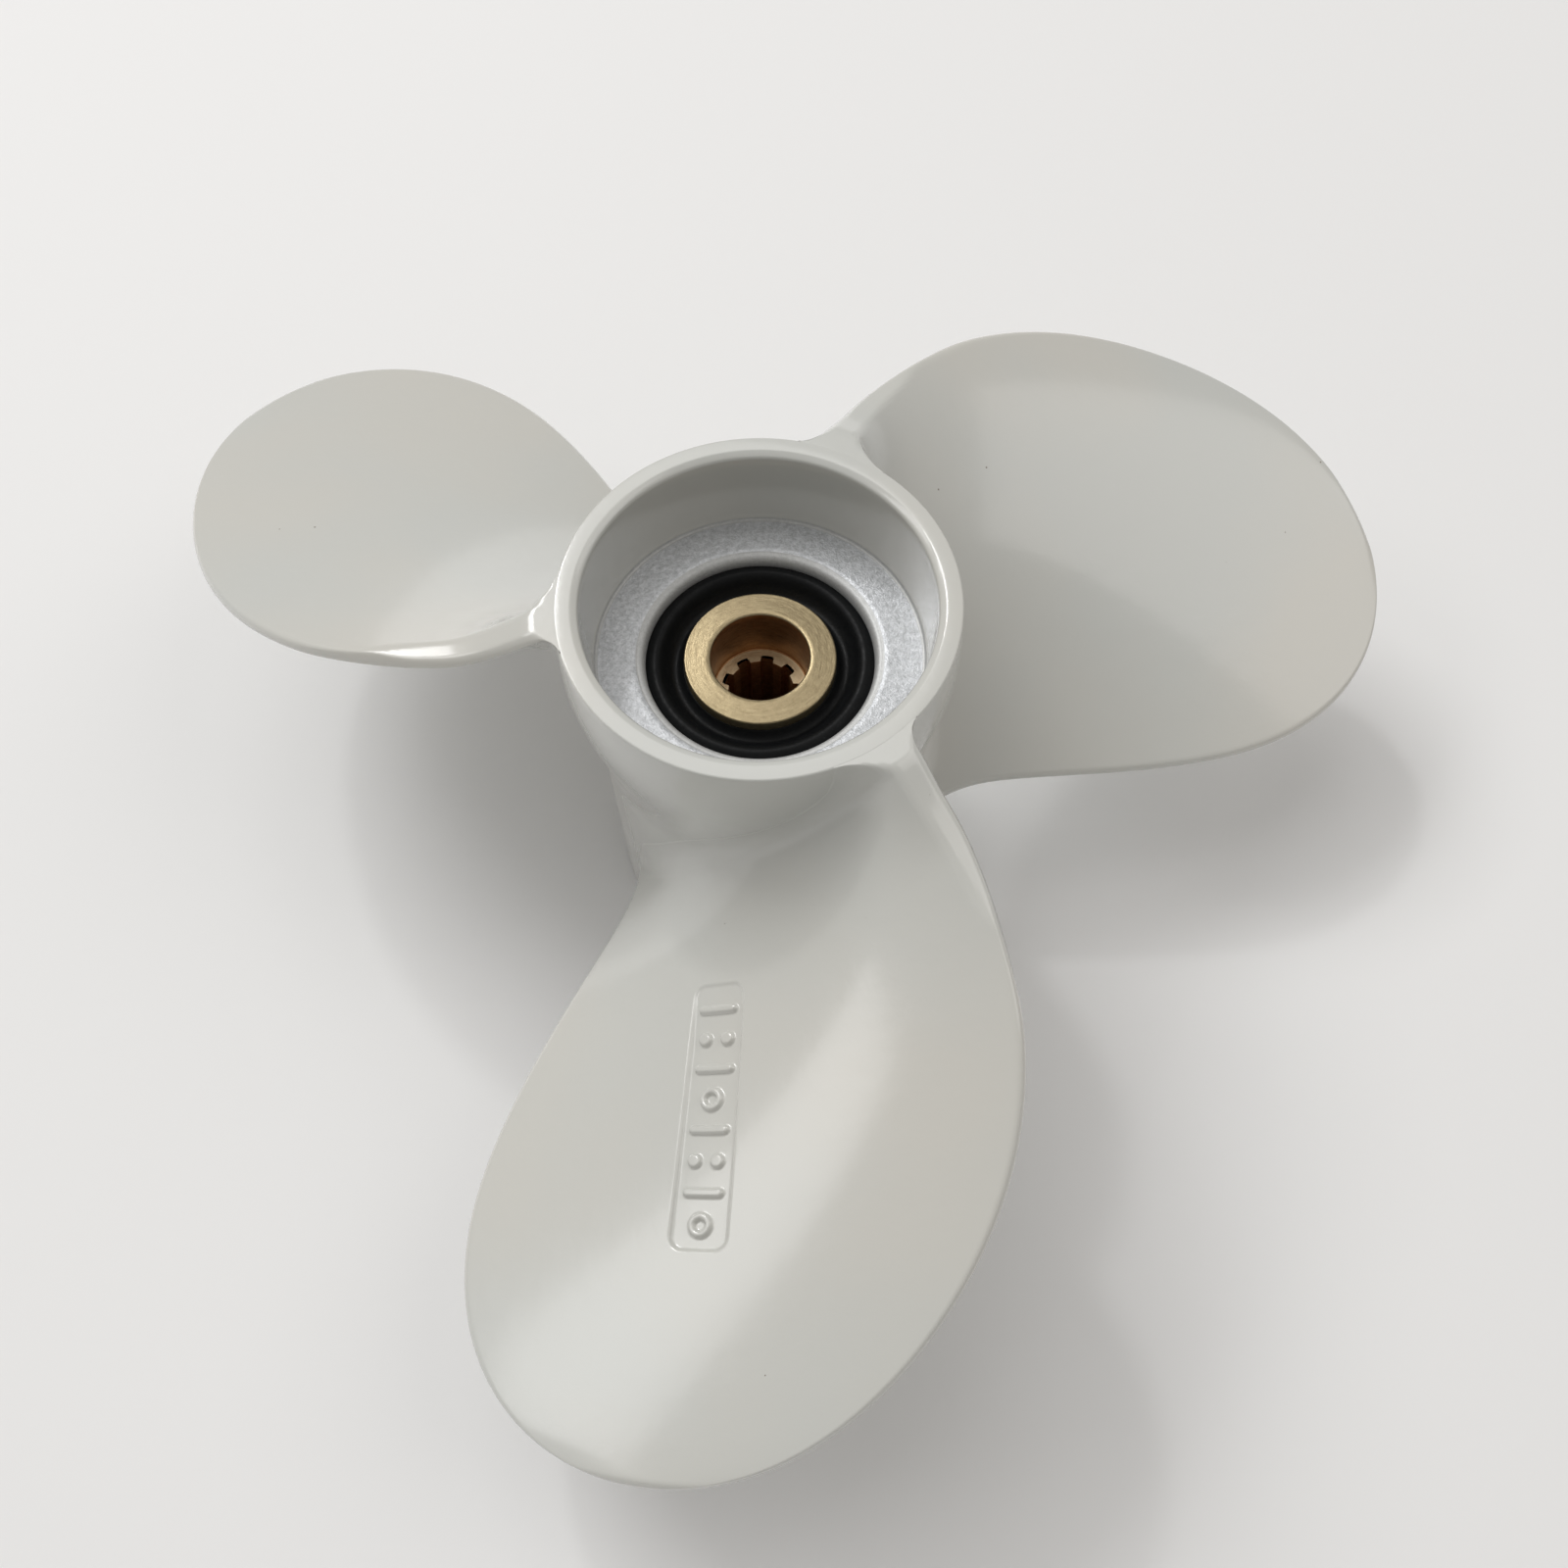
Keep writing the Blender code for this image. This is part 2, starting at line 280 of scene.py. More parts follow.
@dataclass
class Hub:
    """The casting's turned hub: barrel, front recess, web, bore and rear recess.

    Attributes:
        length: Length along the shaft.
        rim_radius: Outer radius at the front face.
        flare_radius: Largest outer radius, just behind the front face.
        flare_depth: Depth of that largest radius behind the front face.
        cone_end_depth: Depth where the barrel becomes straight.
        barrel_radius: Outer radius of the straight barrel.
        rim_inner_radius: Inner radius just behind the front face.
        rim_chamfer: Width of the chamfer round the front opening.
        recess_depth: Depth of the web's outer edge.
        recess_radius: Radius of the web's outer edge.
        lip_depth: Depth of the web's inner lip.
        bore_radius: Radius of the bore that holds the rubber bush.
        lip_radius: Radius of the rounded lip over the bush's edge.
        rear_recess_depth: Depth of the rear recess.
        rear_recess_radius: Radius of the rear recess.
        edge: Radius of the hub's outer edges.
        barrel_rings: Rings of points down the barrel.
        steps: Steps in a full turn.
    """

    length: float = 2.5 * INCH
    rim_radius: float = 24.3 * MM
    flare_radius: float = 24.7 * MM
    flare_depth: float = 6.5 * MM
    cone_end_depth: float = 29.0 * MM
    barrel_radius: float = 21.8 * MM
    rim_inner_radius: float = 21.5 * MM
    rim_chamfer: float = 0.85 * MM
    recess_depth: float = 12.3 * MM
    recess_radius: float = 20.9 * MM
    lip_depth: float = 13.0 * MM
    bore_radius: float = 15.3 * MM
    lip_radius: float = 14.55 * MM
    rear_recess_depth: float = 12.0 * MM
    rear_recess_radius: float = 18.4 * MM
    edge: float = 0.28 * MM
    barrel_rings: int = 60
    steps: int = 256

    def outer_radius(self, height: Array) -> Array:
        """Barrel radius at a height: a sine swell behind the rim, a cosine cone, a cylinder.

        Args:
            height: Heights above the rear face.

        Returns:
            The radius at each height.
        """
        depth = self.length - np.asarray(height, dtype=float)
        swell = np.sin(0.5 * np.pi * np.clip(depth / self.flare_depth, 0.0, 1.0))
        front = self.rim_radius + (self.flare_radius - self.rim_radius) * swell
        along = np.clip((depth - self.flare_depth) / (self.cone_end_depth - self.flare_depth), 0.0, 1.0)
        return front + (self.barrel_radius - self.flare_radius) * (0.5 - 0.5 * np.cos(np.pi * along))

    def outline(self) -> Outline:
        """Outline of the hub, down the barrel and back up through the bore.

        Returns:
            The closed outline.
        """
        top, edge, paint = self.length, self.edge, HubSurface.PAINT.value
        line = Outline()
        line.to(self.rim_radius - edge, top, paint)
        line.round_to((self.rim_radius, top), (float(self.outer_radius(top - edge)), top - edge), paint)
        for height in np.linspace(top - edge, edge, self.barrel_rings)[1:]:
            line.to(float(self.outer_radius(height)), float(height), paint)
        line.round_to((self.barrel_radius, 0.0), (self.barrel_radius - edge, 0.0), paint)
        self.rear_recess(line)
        self.lip_and_web(line)
        self.front_recess(line)
        return line

    def rear_recess(self, line: Outline) -> None:
        """Draws the rear recess and the rear end of the bore.

        Args:
            line: The outline, up to the rear end's outer edge.
        """
        edge, paint, cast = self.edge, HubSurface.PAINT.value, HubSurface.CAST.value
        draft, corner = 0.3 * MM, 0.8 * MM
        floor, wall = self.rear_recess_depth, self.rear_recess_radius - draft
        line.to(self.rear_recess_radius + edge, 0.0, paint)
        line.round_to((self.rear_recess_radius, 0.0), (self.rear_recess_radius, edge), paint)
        line.to(wall, floor - corner, paint, 4)
        line.round_to((wall, floor), (wall - corner, floor), paint)
        line.to(self.bore_radius + edge, floor, cast, 2)
        line.round_to((self.bore_radius, floor), (self.bore_radius, floor + edge), cast)

    def lip_and_web(self, line: Outline) -> None:
        """Draws the bore, the smooth lip over the bush's edge and the web round it.

        Args:
            line: The outline, up to the rear end of the bore.
        """
        smooth, cast = HubSurface.LIP.value, HubSurface.CAST.value
        web = self.length - self.recess_depth
        low = self.length - self.lip_depth
        under, turn, ring = low - 1.9 * MM, low - 1.0 * MM, web - 0.1 * MM
        step = self.lip_radius + 1.1 * MM
        line.to(self.bore_radius, under, cast, 8)
        line.round_to((self.bore_radius - 0.75 * MM, under + 0.2 * MM), (self.lip_radius, turn), smooth, 4)
        line.round_to((self.lip_radius, ring + 0.02 * MM), (step - 0.15 * MM, ring), smooth, 12)
        line.round_to((step, ring), (step + 0.05 * MM, web), smooth, 2)
        fillet = 0.42 * MM
        line.to(self.recess_radius - fillet, web, cast, 8)
        corner = (self.recess_radius - 0.05 * MM, web)
        line.round_to(corner, (self.recess_radius + 0.02 * MM, web + fillet), smooth, 5)

    def front_recess(self, line: Outline) -> None:
        """Draws the front recess's wall and the chamfer round its opening.

        Args:
            line: The outline, up to the web's outer edge.
        """
        top, inner, paint = self.length, self.rim_inner_radius, HubSurface.PAINT.value
        outer, rounding = inner + self.rim_chamfer, 0.2 * MM
        line.to(inner - 0.05 * MM, top - 0.95 * MM, paint, 10)
        line.round_to((inner, top - 0.55 * MM), (inner + rounding, top - 0.4 * MM), paint, 4)
        line.to(outer - 0.16 * MM, top - 0.1 * MM, paint, 2)
        line.round_to((outer, top), (outer + rounding, top), paint, 4)

    def build(self) -> bpy.types.Object:
        """Builds the hub.

        Returns:
            The piece, with its paint and bare stretches numbered.
        """
        return turned_piece("casting_hub", self.outline(), self.steps, 60.0)


# ---------------------------------------------------------------- blades

# How finely a blade is made: passes that place its points, samples of its outline, sections
# in each stretch from root to tip, and the shares of a face's points round the size plate.
PLACING_PASSES = 4
OUTLINE_SAMPLES = 4000
FILLET_SECTIONS, FILLET_CROWDING = 26, 1.7
NECK_SECTIONS, PLATE_SECTIONS, TIP_SECTIONS = 24, 210, 44
PLATE_FROM, PLATE_TO = 0.27, 0.77
BAND_MIDDLE, BAND_REACH, BAND_MOST = (0.3, 0.7), 0.57, 0.2
PLATE_MARGIN = 1.0 * MM

# How a blade's faces meet: length of a nose for each unit of edge thickness, how far the cut
# rises clear of the land where that fades, and the blends at the land and at the rim.
NOSE_LENGTH = 0.6
LAND_CLEAR = 4.0 * MM
LAND_BLEND = 0.16 * MM
RIM_BLEND = 0.6 * MM


@dataclass
class SizePlate:
    """Sunken plate with raised plain marks, cast into one blade's front face.

    Attributes:
        angle_degrees: Angle of the plate's middle line, from the leading edge's root.
        inner_radius: Radius of the plate's inner end.
        outer_radius: Radius of the plate's outer end.
        width: Width across the plate, half way along it.
        taper: Growth of that width for each unit of radius.
        corner: Radius of the plate's corners.
        depth: How far the plate is sunk.
        shallow: Share of that depth at its inner end.
        run_in: Distance over which it reaches its full depth.
        edge: Where the step at its edge starts and ends, inwards from the outline.
        relief: How far the marks stand up from the plate.
        mark_edge: Where the step at a mark's edge starts and ends.
        first_mark: Distance of the first mark from the inner end, in spacings.
        last_mark: Number of the last mark, counted from 0.
        spacing: Distance from mark to mark.
        bar: Half length and half width of a bar.
        studs: Half distance between two studs, and their radius.
        ring: Radius of a ring, and half the width of its wall.
    """

    angle_degrees: float = -50.7
    inner_radius: float = 39.8 * MM
    outer_radius: float = 70.7 * MM
    width: float = 6.6 * MM
    taper: float = 0.022
    corner: float = 1.6 * MM
    depth: float = 0.55 * MM
    shallow: float = 0.35
    run_in: float = 9.5 * MM
    edge: Place = (-0.1 * MM, 0.35 * MM)
    relief: float = 0.58 * MM
    mark_edge: Place = (-0.14 * MM, 0.12 * MM)
    first_mark: float = 0.9
    last_mark: int = 7
    spacing: float = 3.55 * MM
    bar: Place = (1.9 * MM, 0.42 * MM)
    studs: Place = (1.35 * MM, 0.75 * MM)
    ring: Place = (1.0 * MM, 0.32 * MM)

    def sink(self, across: Array, along: Array) -> Array:
        """Depth of the plate below the blade at each place, less the marks' height.

        The plate's edge is an eased step on the distance to a rounded rectangle. The marks
        are plain bars across the plate, pairs of round studs and small rings.

        Args:
            across: Distance from the plate's middle line.
            along: Distance from the hub's axis.

        Returns:
            The depth at each place.
        """
        middle = 0.5 * (self.inner_radius + self.outer_radius)
        half_long = 0.5 * (self.outer_radius - self.inner_radius)
        half_wide = 0.5 * (self.width + self.taper * (along - middle))
        x = np.abs(across) - (half_wide - self.corner)
        y = np.abs(along - middle) - (half_long - self.corner)
        outside = np.hypot(np.maximum(x, 0.0), np.maximum(y, 0.0))
        distance = outside + np.minimum(np.maximum(x, y), 0.0) - self.corner
        start = self.inner_radius - 0.5 * MM
        full = smoothstep(along, start, start + self.run_in)
        plate = self.depth * (self.shallow + (1.0 - self.shallow) * full) * smoothstep(-distance, *self.edge)
        place = (along - self.inner_radius) / self.spacing - self.first_mark
        number = np.round(place)
        offset = (place - number) * self.spacing
        bar = np.hypot(np.maximum(np.abs(across) - self.bar[0], 0.0), offset) - self.bar[1]
        stud = np.hypot(np.abs(across) - self.studs[0], offset) - self.studs[1]
        ring = np.abs(np.hypot(across, offset) - self.ring[0]) - self.ring[1]
        shape = np.where(number % 4 == 1, stud, np.where(number % 4 == 3, ring, bar))
        shown = (number >= 0) & (number <= self.last_mark)
        return plate - self.relief * smoothstep(-shape, *self.mark_edge) * shown


@dataclass
class Blade:
    """One blade: closed sections on cylinders about the shaft, lofted from root to tip.

    A section at radius r lies on the screw surface z = rate(r) * angle, raked towards the
    rear. Near the hub its leading edge is cut off almost level, which leaves a narrow land
    that runs into the front rim, and the section is pushed outwards by a fillet's height,
    so the blade's surface runs into the barrel.

    Attributes:
        hub: The hub that the blade grows from.
        start_degrees: Angle of the leading edge's root.
        tip_radius: Radius of the tip.
        root_pitch: Pitch at the hub.
        tip_pitch: Pitch at the tip.
        drop: Depth of the leading edge's root behind the front face.
        rake: Rearward lean for each metre of radius.
        rake_curve: Growth of that lean, per metre.
        root_thickness: Greatest thickness at the hub.
        tip_thickness: Greatest thickness at the tip.
        lead_edge: Thickness of the leading edge at the hub, before the land is cut.
        tail_edge: Thickness of the trailing edge at the hub.
        tip_edge: Thickness of the edges at the tip.
        land_side: Height of the upright face under the land's outer edge.
        land_round: Radius of the land's outer edge.
        land_rise: Height of the land's outer edge over the screw surface.
        rim_rise: That height where the land meets the rim.
        land_reach: Distance over which that lift dies away behind the edge.
        land_start: Radius where the land starts to fade.
        land_end: Radius where the land is gone.
        rim_fillet: Front fillet radius at the leading edge.
        front_fillet: Front fillet radius further back.
        rear_fillet: Fillet radius on the rear face.
        tail_fillet: Fillet radius at the trailing edge.
        embed: How far the root is sunk into the barrel.
        edge_fade: Share of the span over which the edges thin from the hub outwards.
        swell_fade: Distance over which the barrel's swell stops moving the sections.
        lead_reach: Distance behind the leading edge where the rim fillet has died away.
        tail_reach: Distance before the trailing edge where its fillet starts.
        rim_gap: How far the land's top stays behind the front face.
        outline_mm: Control points of the unrolled outline, (arc length, radius) in mm.
        stations: Number of sections.
        side_steps: Points along each face of a section.
        plate: The size plate, on a blade that has one.
    """

    hub: Hub
    start_degrees: float
    tip_radius: float = 3.745 * INCH
    root_pitch: float = 0.984 * 7.0 * INCH
    tip_pitch: float = 0.906 * 7.0 * INCH
    drop: float = 0.9 * MM
    rake: float = 0.0486
    rake_curve: float = 0.575
    root_thickness: float = 6.4 * MM
    tip_thickness: float = 2.2 * MM
    lead_edge: float = 4.6 * MM
    tail_edge: float = 2.2 * MM
    tip_edge: float = 1.5 * MM
    land_side: float = 1.3 * MM
    land_round: float = 0.3 * MM
    land_rise: float = 0.25 * MM
    rim_rise: float = 1.8 * MM
    land_reach: float = 8.0 * MM
    land_start: float = 41.0 * MM
    land_end: float = 64.0 * MM
    rim_fillet: float = 5.0 * MM
    front_fillet: float = 3.0 * MM
    rear_fillet: float = 1.4 * MM
    tail_fillet: float = 1.3 * MM
    embed: float = 0.9 * MM
    edge_fade: float = 0.2
    swell_fade: float = 12.0 * MM
    lead_reach: float = 11.0 * MM
    tail_reach: float = 9.0 * MM
    rim_gap: float = 0.02 * MM
    outline_mm: tuple[tuple[float, float], ...] = (
        (0.2, 22.0), (-3.0, 36.0), (-10.6, 51.0), (-16.5, 60.5), (-33.5, 76.4), (-71.6, 95.4),
        (-104.4, 96.7), (-104.3, 77.0), (-44.2, 31.2), (-36.5, 24.2), (-36.5, 19.0),
    )
    stations: int = 80
    side_steps: int = 72
    plate: SizePlate | None = None

    def edge_angles(self, radius: Array) -> tuple[Array, Array]:
        """Angles of the leading and trailing edges, read off the outline's spline.

        Args:
            radius: Radii, rising.

        Returns:
            Leading and trailing angles at each radius.
        """
        outline = b_spline(np.array(self.outline_mm) * MM, OUTLINE_SAMPLES)
        arc, reach = outline[:, 0], outline[:, 1]
        scale = self.tip_radius / reach.max()
        angle, tip = arc / reach, int(np.argmax(reach))
        leading = np.interp(radius, reach[: tip + 1] * scale, angle[: tip + 1])
        trailing = np.interp(radius, reach[tip:][::-1] * scale, angle[tip:][::-1])
        return leading, trailing

    def share(self, radius: Array) -> Array:
        """How far a radius lies from the rim's radius to the tip, 0 to 1."""
        return (radius - self.hub.rim_radius) / (self.tip_radius - self.hub.rim_radius)

    def rate(self, radius: Array) -> Array:
        """Rise of the screw surface for each radian, pitch / (2 pi)."""
        return (self.root_pitch + (self.tip_pitch - self.root_pitch) * self.share(radius)) / (2.0 * np.pi)

    def middle_height(self, radius: Array, angle: Array) -> Array:
        """Height of the blade's middle surface: front face - drop + rate * angle - rake.

        Args:
            radius: Radius of each point.
            angle: Angle from the leading edge's root.

        Returns:
            The height at each point.
        """
        out = radius - self.hub.rim_radius
        lean = self.rake * out + self.rake_curve * out**2
        return self.hub.length - self.drop + self.rate(radius) * angle - lean

    def edge_thickness(self, radius: Array, root_edge: float) -> Array:
        """Thickness just inside an edge: tip edge + (root edge - tip edge) * exp(-share / fade)."""
        return self.tip_edge + (root_edge - self.tip_edge) * np.exp(-self.share(radius) / self.edge_fade)

    def half_body(self, radius: Array, share: Array) -> Array:
        """Half the thickness without its noses: (edge + (middle - edge) * 4 t (1 - t)) / 2.

        The edge's thickness runs from the leading one's to the trailing one's as (1 - t)^3.

        Args:
            radius: Radius of each point.
            share: Place along the chord, t, from 0 at the leading edge to 1.

        Returns:
            Half the thickness at each point.
        """
        reach = np.sqrt(np.clip(self.share(radius), 0.0, 1.0))
        middle = self.root_thickness + (self.tip_thickness - self.root_thickness) * reach
        lead, tail = self.edge_thickness(radius, self.lead_edge), self.edge_thickness(radius, self.tail_edge)
        edge = tail + (lead - tail) * (1.0 - share) ** 3
        return 0.5 * (edge + (middle - edge) * 4.0 * share * (1.0 - share))

    @staticmethod
    def nose(distance: Array, reach: Array | float) -> Array:
        """Quarter circle: sqrt(1 - (1 - d)^2), d being distance / reach, up to 1."""
        run = np.clip(distance / reach, 0.0, 1.0)
        return np.sqrt(1.0 - (1.0 - run) ** 2)

    def faces(self, radius: Array, share: Array, chord: Array, tilt: Array) -> tuple[Array, Array]:
        """Heights of the front and rear faces over the screw surface, along its normal.

        Both are the lifted middle plus or minus half the thickness, and the front one is cut
        level by the land: cut = corner + distance * tan(tilt). Under the land's outer edge
        stands an upright face, with both its edges rounded.

        Args:
            radius: Radius of each point.
            share: Place along the chord.
            chord: Length of each section.
            tilt: Angle of the screw line to the horizontal.

        Returns:
            Heights of the front and rear faces.
        """
        along = chord * share
        land = 1.0 - smoothstep(radius, self.land_start, self.land_end)
        lead = self.edge_thickness(radius, self.lead_edge)
        leading = land + (1.0 - land) * self.nose(along, NOSE_LENGTH * lead)
        trailing = self.nose(chord - along, NOSE_LENGTH * self.edge_thickness(radius, self.tail_edge))
        tip = self.nose(self.tip_radius - radius, NOSE_LENGTH * self.tip_edge)
        half = self.half_body(radius, share) * leading * tip * trailing
        near_rim = 1.0 - smoothstep(self.share(radius), 0.0, self.edge_fade)
        corner = (self.land_rise + (self.rim_rise - self.land_rise) * near_rim) / np.cos(tilt)
        lift = (corner - self.land_side + 0.5 * lead) * land * np.exp(-((along / self.land_reach) ** 2))
        cut = corner + along * np.tan(tilt) + (1.0 - land) * LAND_CLEAR
        rounding = self.land_round * land * (1.0 - self.nose(along, self.land_round))
        return smooth_min(lift + half, cut, LAND_BLEND) - rounding, lift - half + rounding

    def chord_shares(self, leading: Array, trailing: Array, radius: Array) -> Array:
        """Places of a face's points along the chord, crowded at both edges and at the plate.

        Args:
            leading: Leading angle of each section.
            trailing: Trailing angle of each section.
            radius: Radius of each section.

        Returns:
            (sections, side_steps + 1) shares from 0 at the leading edge to 1.
        """
        t = np.linspace(0.0, 1.0, self.side_steps + 1)
        if self.plate is None:
            return np.broadcast_to(0.5 - 0.5 * np.cos(np.pi * t), (len(radius), len(t)))
        chord = np.maximum((leading - trailing) * radius, 1e-6)
        turned = math.radians(self.plate.angle_degrees) - leading
        middle = turned / np.minimum(trailing - leading, -1e-6)
        middle = np.clip(middle, *BAND_MIDDLE)[:, None]
        half = np.minimum(BAND_REACH * self.plate.width / chord, BAND_MOST)[:, None]
        low, high = middle - half, middle + half
        first = low * (1.0 - np.cos(0.5 * np.pi * np.clip(t / PLATE_FROM, 0.0, 1.0)))
        band = (high - low) * np.clip((t - PLATE_FROM) / (PLATE_TO - PLATE_FROM), 0.0, 1.0)
        last = (1.0 - high) * np.sin(0.5 * np.pi * np.clip((t - PLATE_TO) / (1.0 - PLATE_TO), 0.0, 1.0))
        return first + band + last

    def section_radii(self) -> Array:
        """Nominal radius of each section, crowded at the fillet, over the plate and at the tip.

        Returns:
            Radii from inside the barrel's wall to the tip.
        """
        barrel = self.hub.barrel_radius
        start = barrel + self.rim_fillet + 0.4 * MM
        fillet = barrel + (start - barrel) * np.linspace(0.0, 1.0, FILLET_SECTIONS)[:-1] ** FILLET_CROWDING
        parts = [np.array([barrel - self.embed, barrel - 0.1 * MM]), fillet]
        if self.plate is not None:
            inner, outer = self.plate.inner_radius - PLATE_MARGIN, self.plate.outer_radius + PLATE_MARGIN
            parts.append(np.linspace(start, inner, NECK_SECTIONS)[:-1])
            parts.append(np.linspace(inner, outer, PLATE_SECTIONS)[:-1])
            start = outer
        t = np.linspace(0.0, 1.0, self.stations if self.plate is None else TIP_SECTIONS)
        parts.append(start + (self.tip_radius - start) * np.sin(0.5 * np.pi * t))
        return np.concatenate(parts)

    def lay(
        self, radius: Array, base: Array, leading: Array, trailing: Array, share: Array, side: Array
    ) -> tuple[Array, Array]:
        """Lays sections on their cylinders.

        On a section, s runs along the screw line and n stands normal to it. With the screw
        line's tilt b, angle = leading angle + (s cos b - n sin b) / r and height = middle
        height + s sin b + n cos b, and the height is limited to just under the front face.

        Args:
            radius: Radius of each point.
            base: Its nominal radius, measured from the straight part of the barrel.
            leading: Leading angle of each section.
            trailing: Trailing angle of each section.
            share: Place along the chord.
            side: 1 on the front face, -1 on the rear one, 0 at the edges.

        Returns:
            Angle and height of each point.
        """
        rate = self.rate(radius)
        tilt = np.arctan2(rate, radius)
        chord = np.abs(trailing - leading) * np.hypot(rate, radius)
        front, rear = self.faces(radius, share, chord, tilt)
        n = np.where(side > 0.0, front, np.where(side < 0.0, rear, 0.5 * (front + rear)))
        s, n = self.fillet(-chord * share, n, base - self.hub.barrel_radius, chord * share, chord)
        if self.plate is not None:
            turned = leading + (trailing - leading) * share - math.radians(self.plate.angle_degrees)
            n = n - self.plate.sink(turned * radius, base) * (side > 0.0)
        turn = math.radians(self.start_degrees) + leading + (s * np.cos(tilt) - n * np.sin(tilt)) / radius
        height = self.middle_height(radius, leading) + s * np.sin(tilt) + n * np.cos(tilt)
        return turn, smooth_min(height, self.hub.length - self.rim_gap, RIM_BLEND)

    def points(self) -> Array:
        """Places of the blade's points: closed sections, each mapped onto its cylinder.

        Near the hub a nominal radius is measured from the barrel's surface at the point's own
        height, which a few passes settle.

        Returns:
            (sections, points of a section, 3) places; the first section is closed on itself.
        """
        nominal = self.section_radii()
        leading, trailing = self.edge_angles(nominal)
        side_share = self.chord_shares(leading, trailing, nominal)
        share = np.concatenate([side_share, side_share[:, ::-1][:, 1:-1]], axis=1)
        columns = side_share.shape[1]
        side = np.ones(share.shape[1])
        side[columns:] = -1.0
        side[[0, columns - 1]] = 0.0
        base = nominal[:, None] + 0.0 * share
        fade = 1.0 - smoothstep(base - self.hub.barrel_radius, 0.0, self.swell_fade)
        height = self.middle_height(base, leading[:, None] + (trailing - leading)[:, None] * share)
        for _ in range(PLACING_PASSES):
            swell = self.hub.outer_radius(height) - self.hub.barrel_radius
            radius = base + swell * fade
            turn, height = self.lay(radius, base, leading[:, None], trailing[:, None], share, side)
        places = np.stack([radius * np.cos(turn), radius * np.sin(turn), height], axis=2)
        mirror = (-np.arange(share.shape[1])) % share.shape[1]
        seam = 0.5 * (places[:1] + places[:1, mirror])
        return np.concatenate([seam, places])

    def fillet(self, s: Array, n: Array, out: Array, along: Array, chord: Array) -> tuple[Array, Array]:
        """Pushes each section outwards by the fillet: f = size - sqrt(size^2 - (size - out)^2).

        The push is along the section's own normal, and the fillet's size runs from the
        rim's at the leading edge through the front and rear ones to the trailing edge's.

        Args:
            s: Place along the screw line, closed round each section.
            n: Place normal to it.
            out: Distance from the barrel.
            along: Distance from the leading edge.
            chord: Length of each section.

        Returns:
            The moved s and n.
        """
        ds = np.roll(s, -1, axis=1) - np.roll(s, 1, axis=1)
        dn = np.roll(n, -1, axis=1) - np.roll(n, 1, axis=1)
        length = np.maximum(np.hypot(ds, dn), 1e-12)
        normal_s, normal_n = dn / length, -ds / length
        near = 1.0 - smoothstep(along, 0.0, self.lead_reach)
        front = self.front_fillet + (self.rim_fillet - self.front_fillet) * near
        size = 0.5 * (front + self.rear_fillet) + 0.5 * (front - self.rear_fillet) * normal_n
        tail = smoothstep(chord - along, 0.0, self.tail_reach)
        size = self.tail_fillet + (size - self.tail_fillet) * tail
        gap = np.clip(size - np.maximum(out, 0.0), 0.0, size)
        height = size - np.sqrt(np.maximum(size**2 - gap**2, 0.0))
        return s + normal_s * height, n + normal_n * height

    def build(self, name: str) -> bpy.types.Object:
        """Builds the blade.

        Args:
            name: The piece's name.

        Returns:
            The piece.
        """
        points = self.points()
        rows, columns = points.shape[:2]
        quads = grid_quads(rows, columns, wrap_columns=True)
        return mesh_object(name, points.reshape(-1, 3), quads, 180.0, merge=True)


# ---------------------------------------------------------------- bush and sleeve


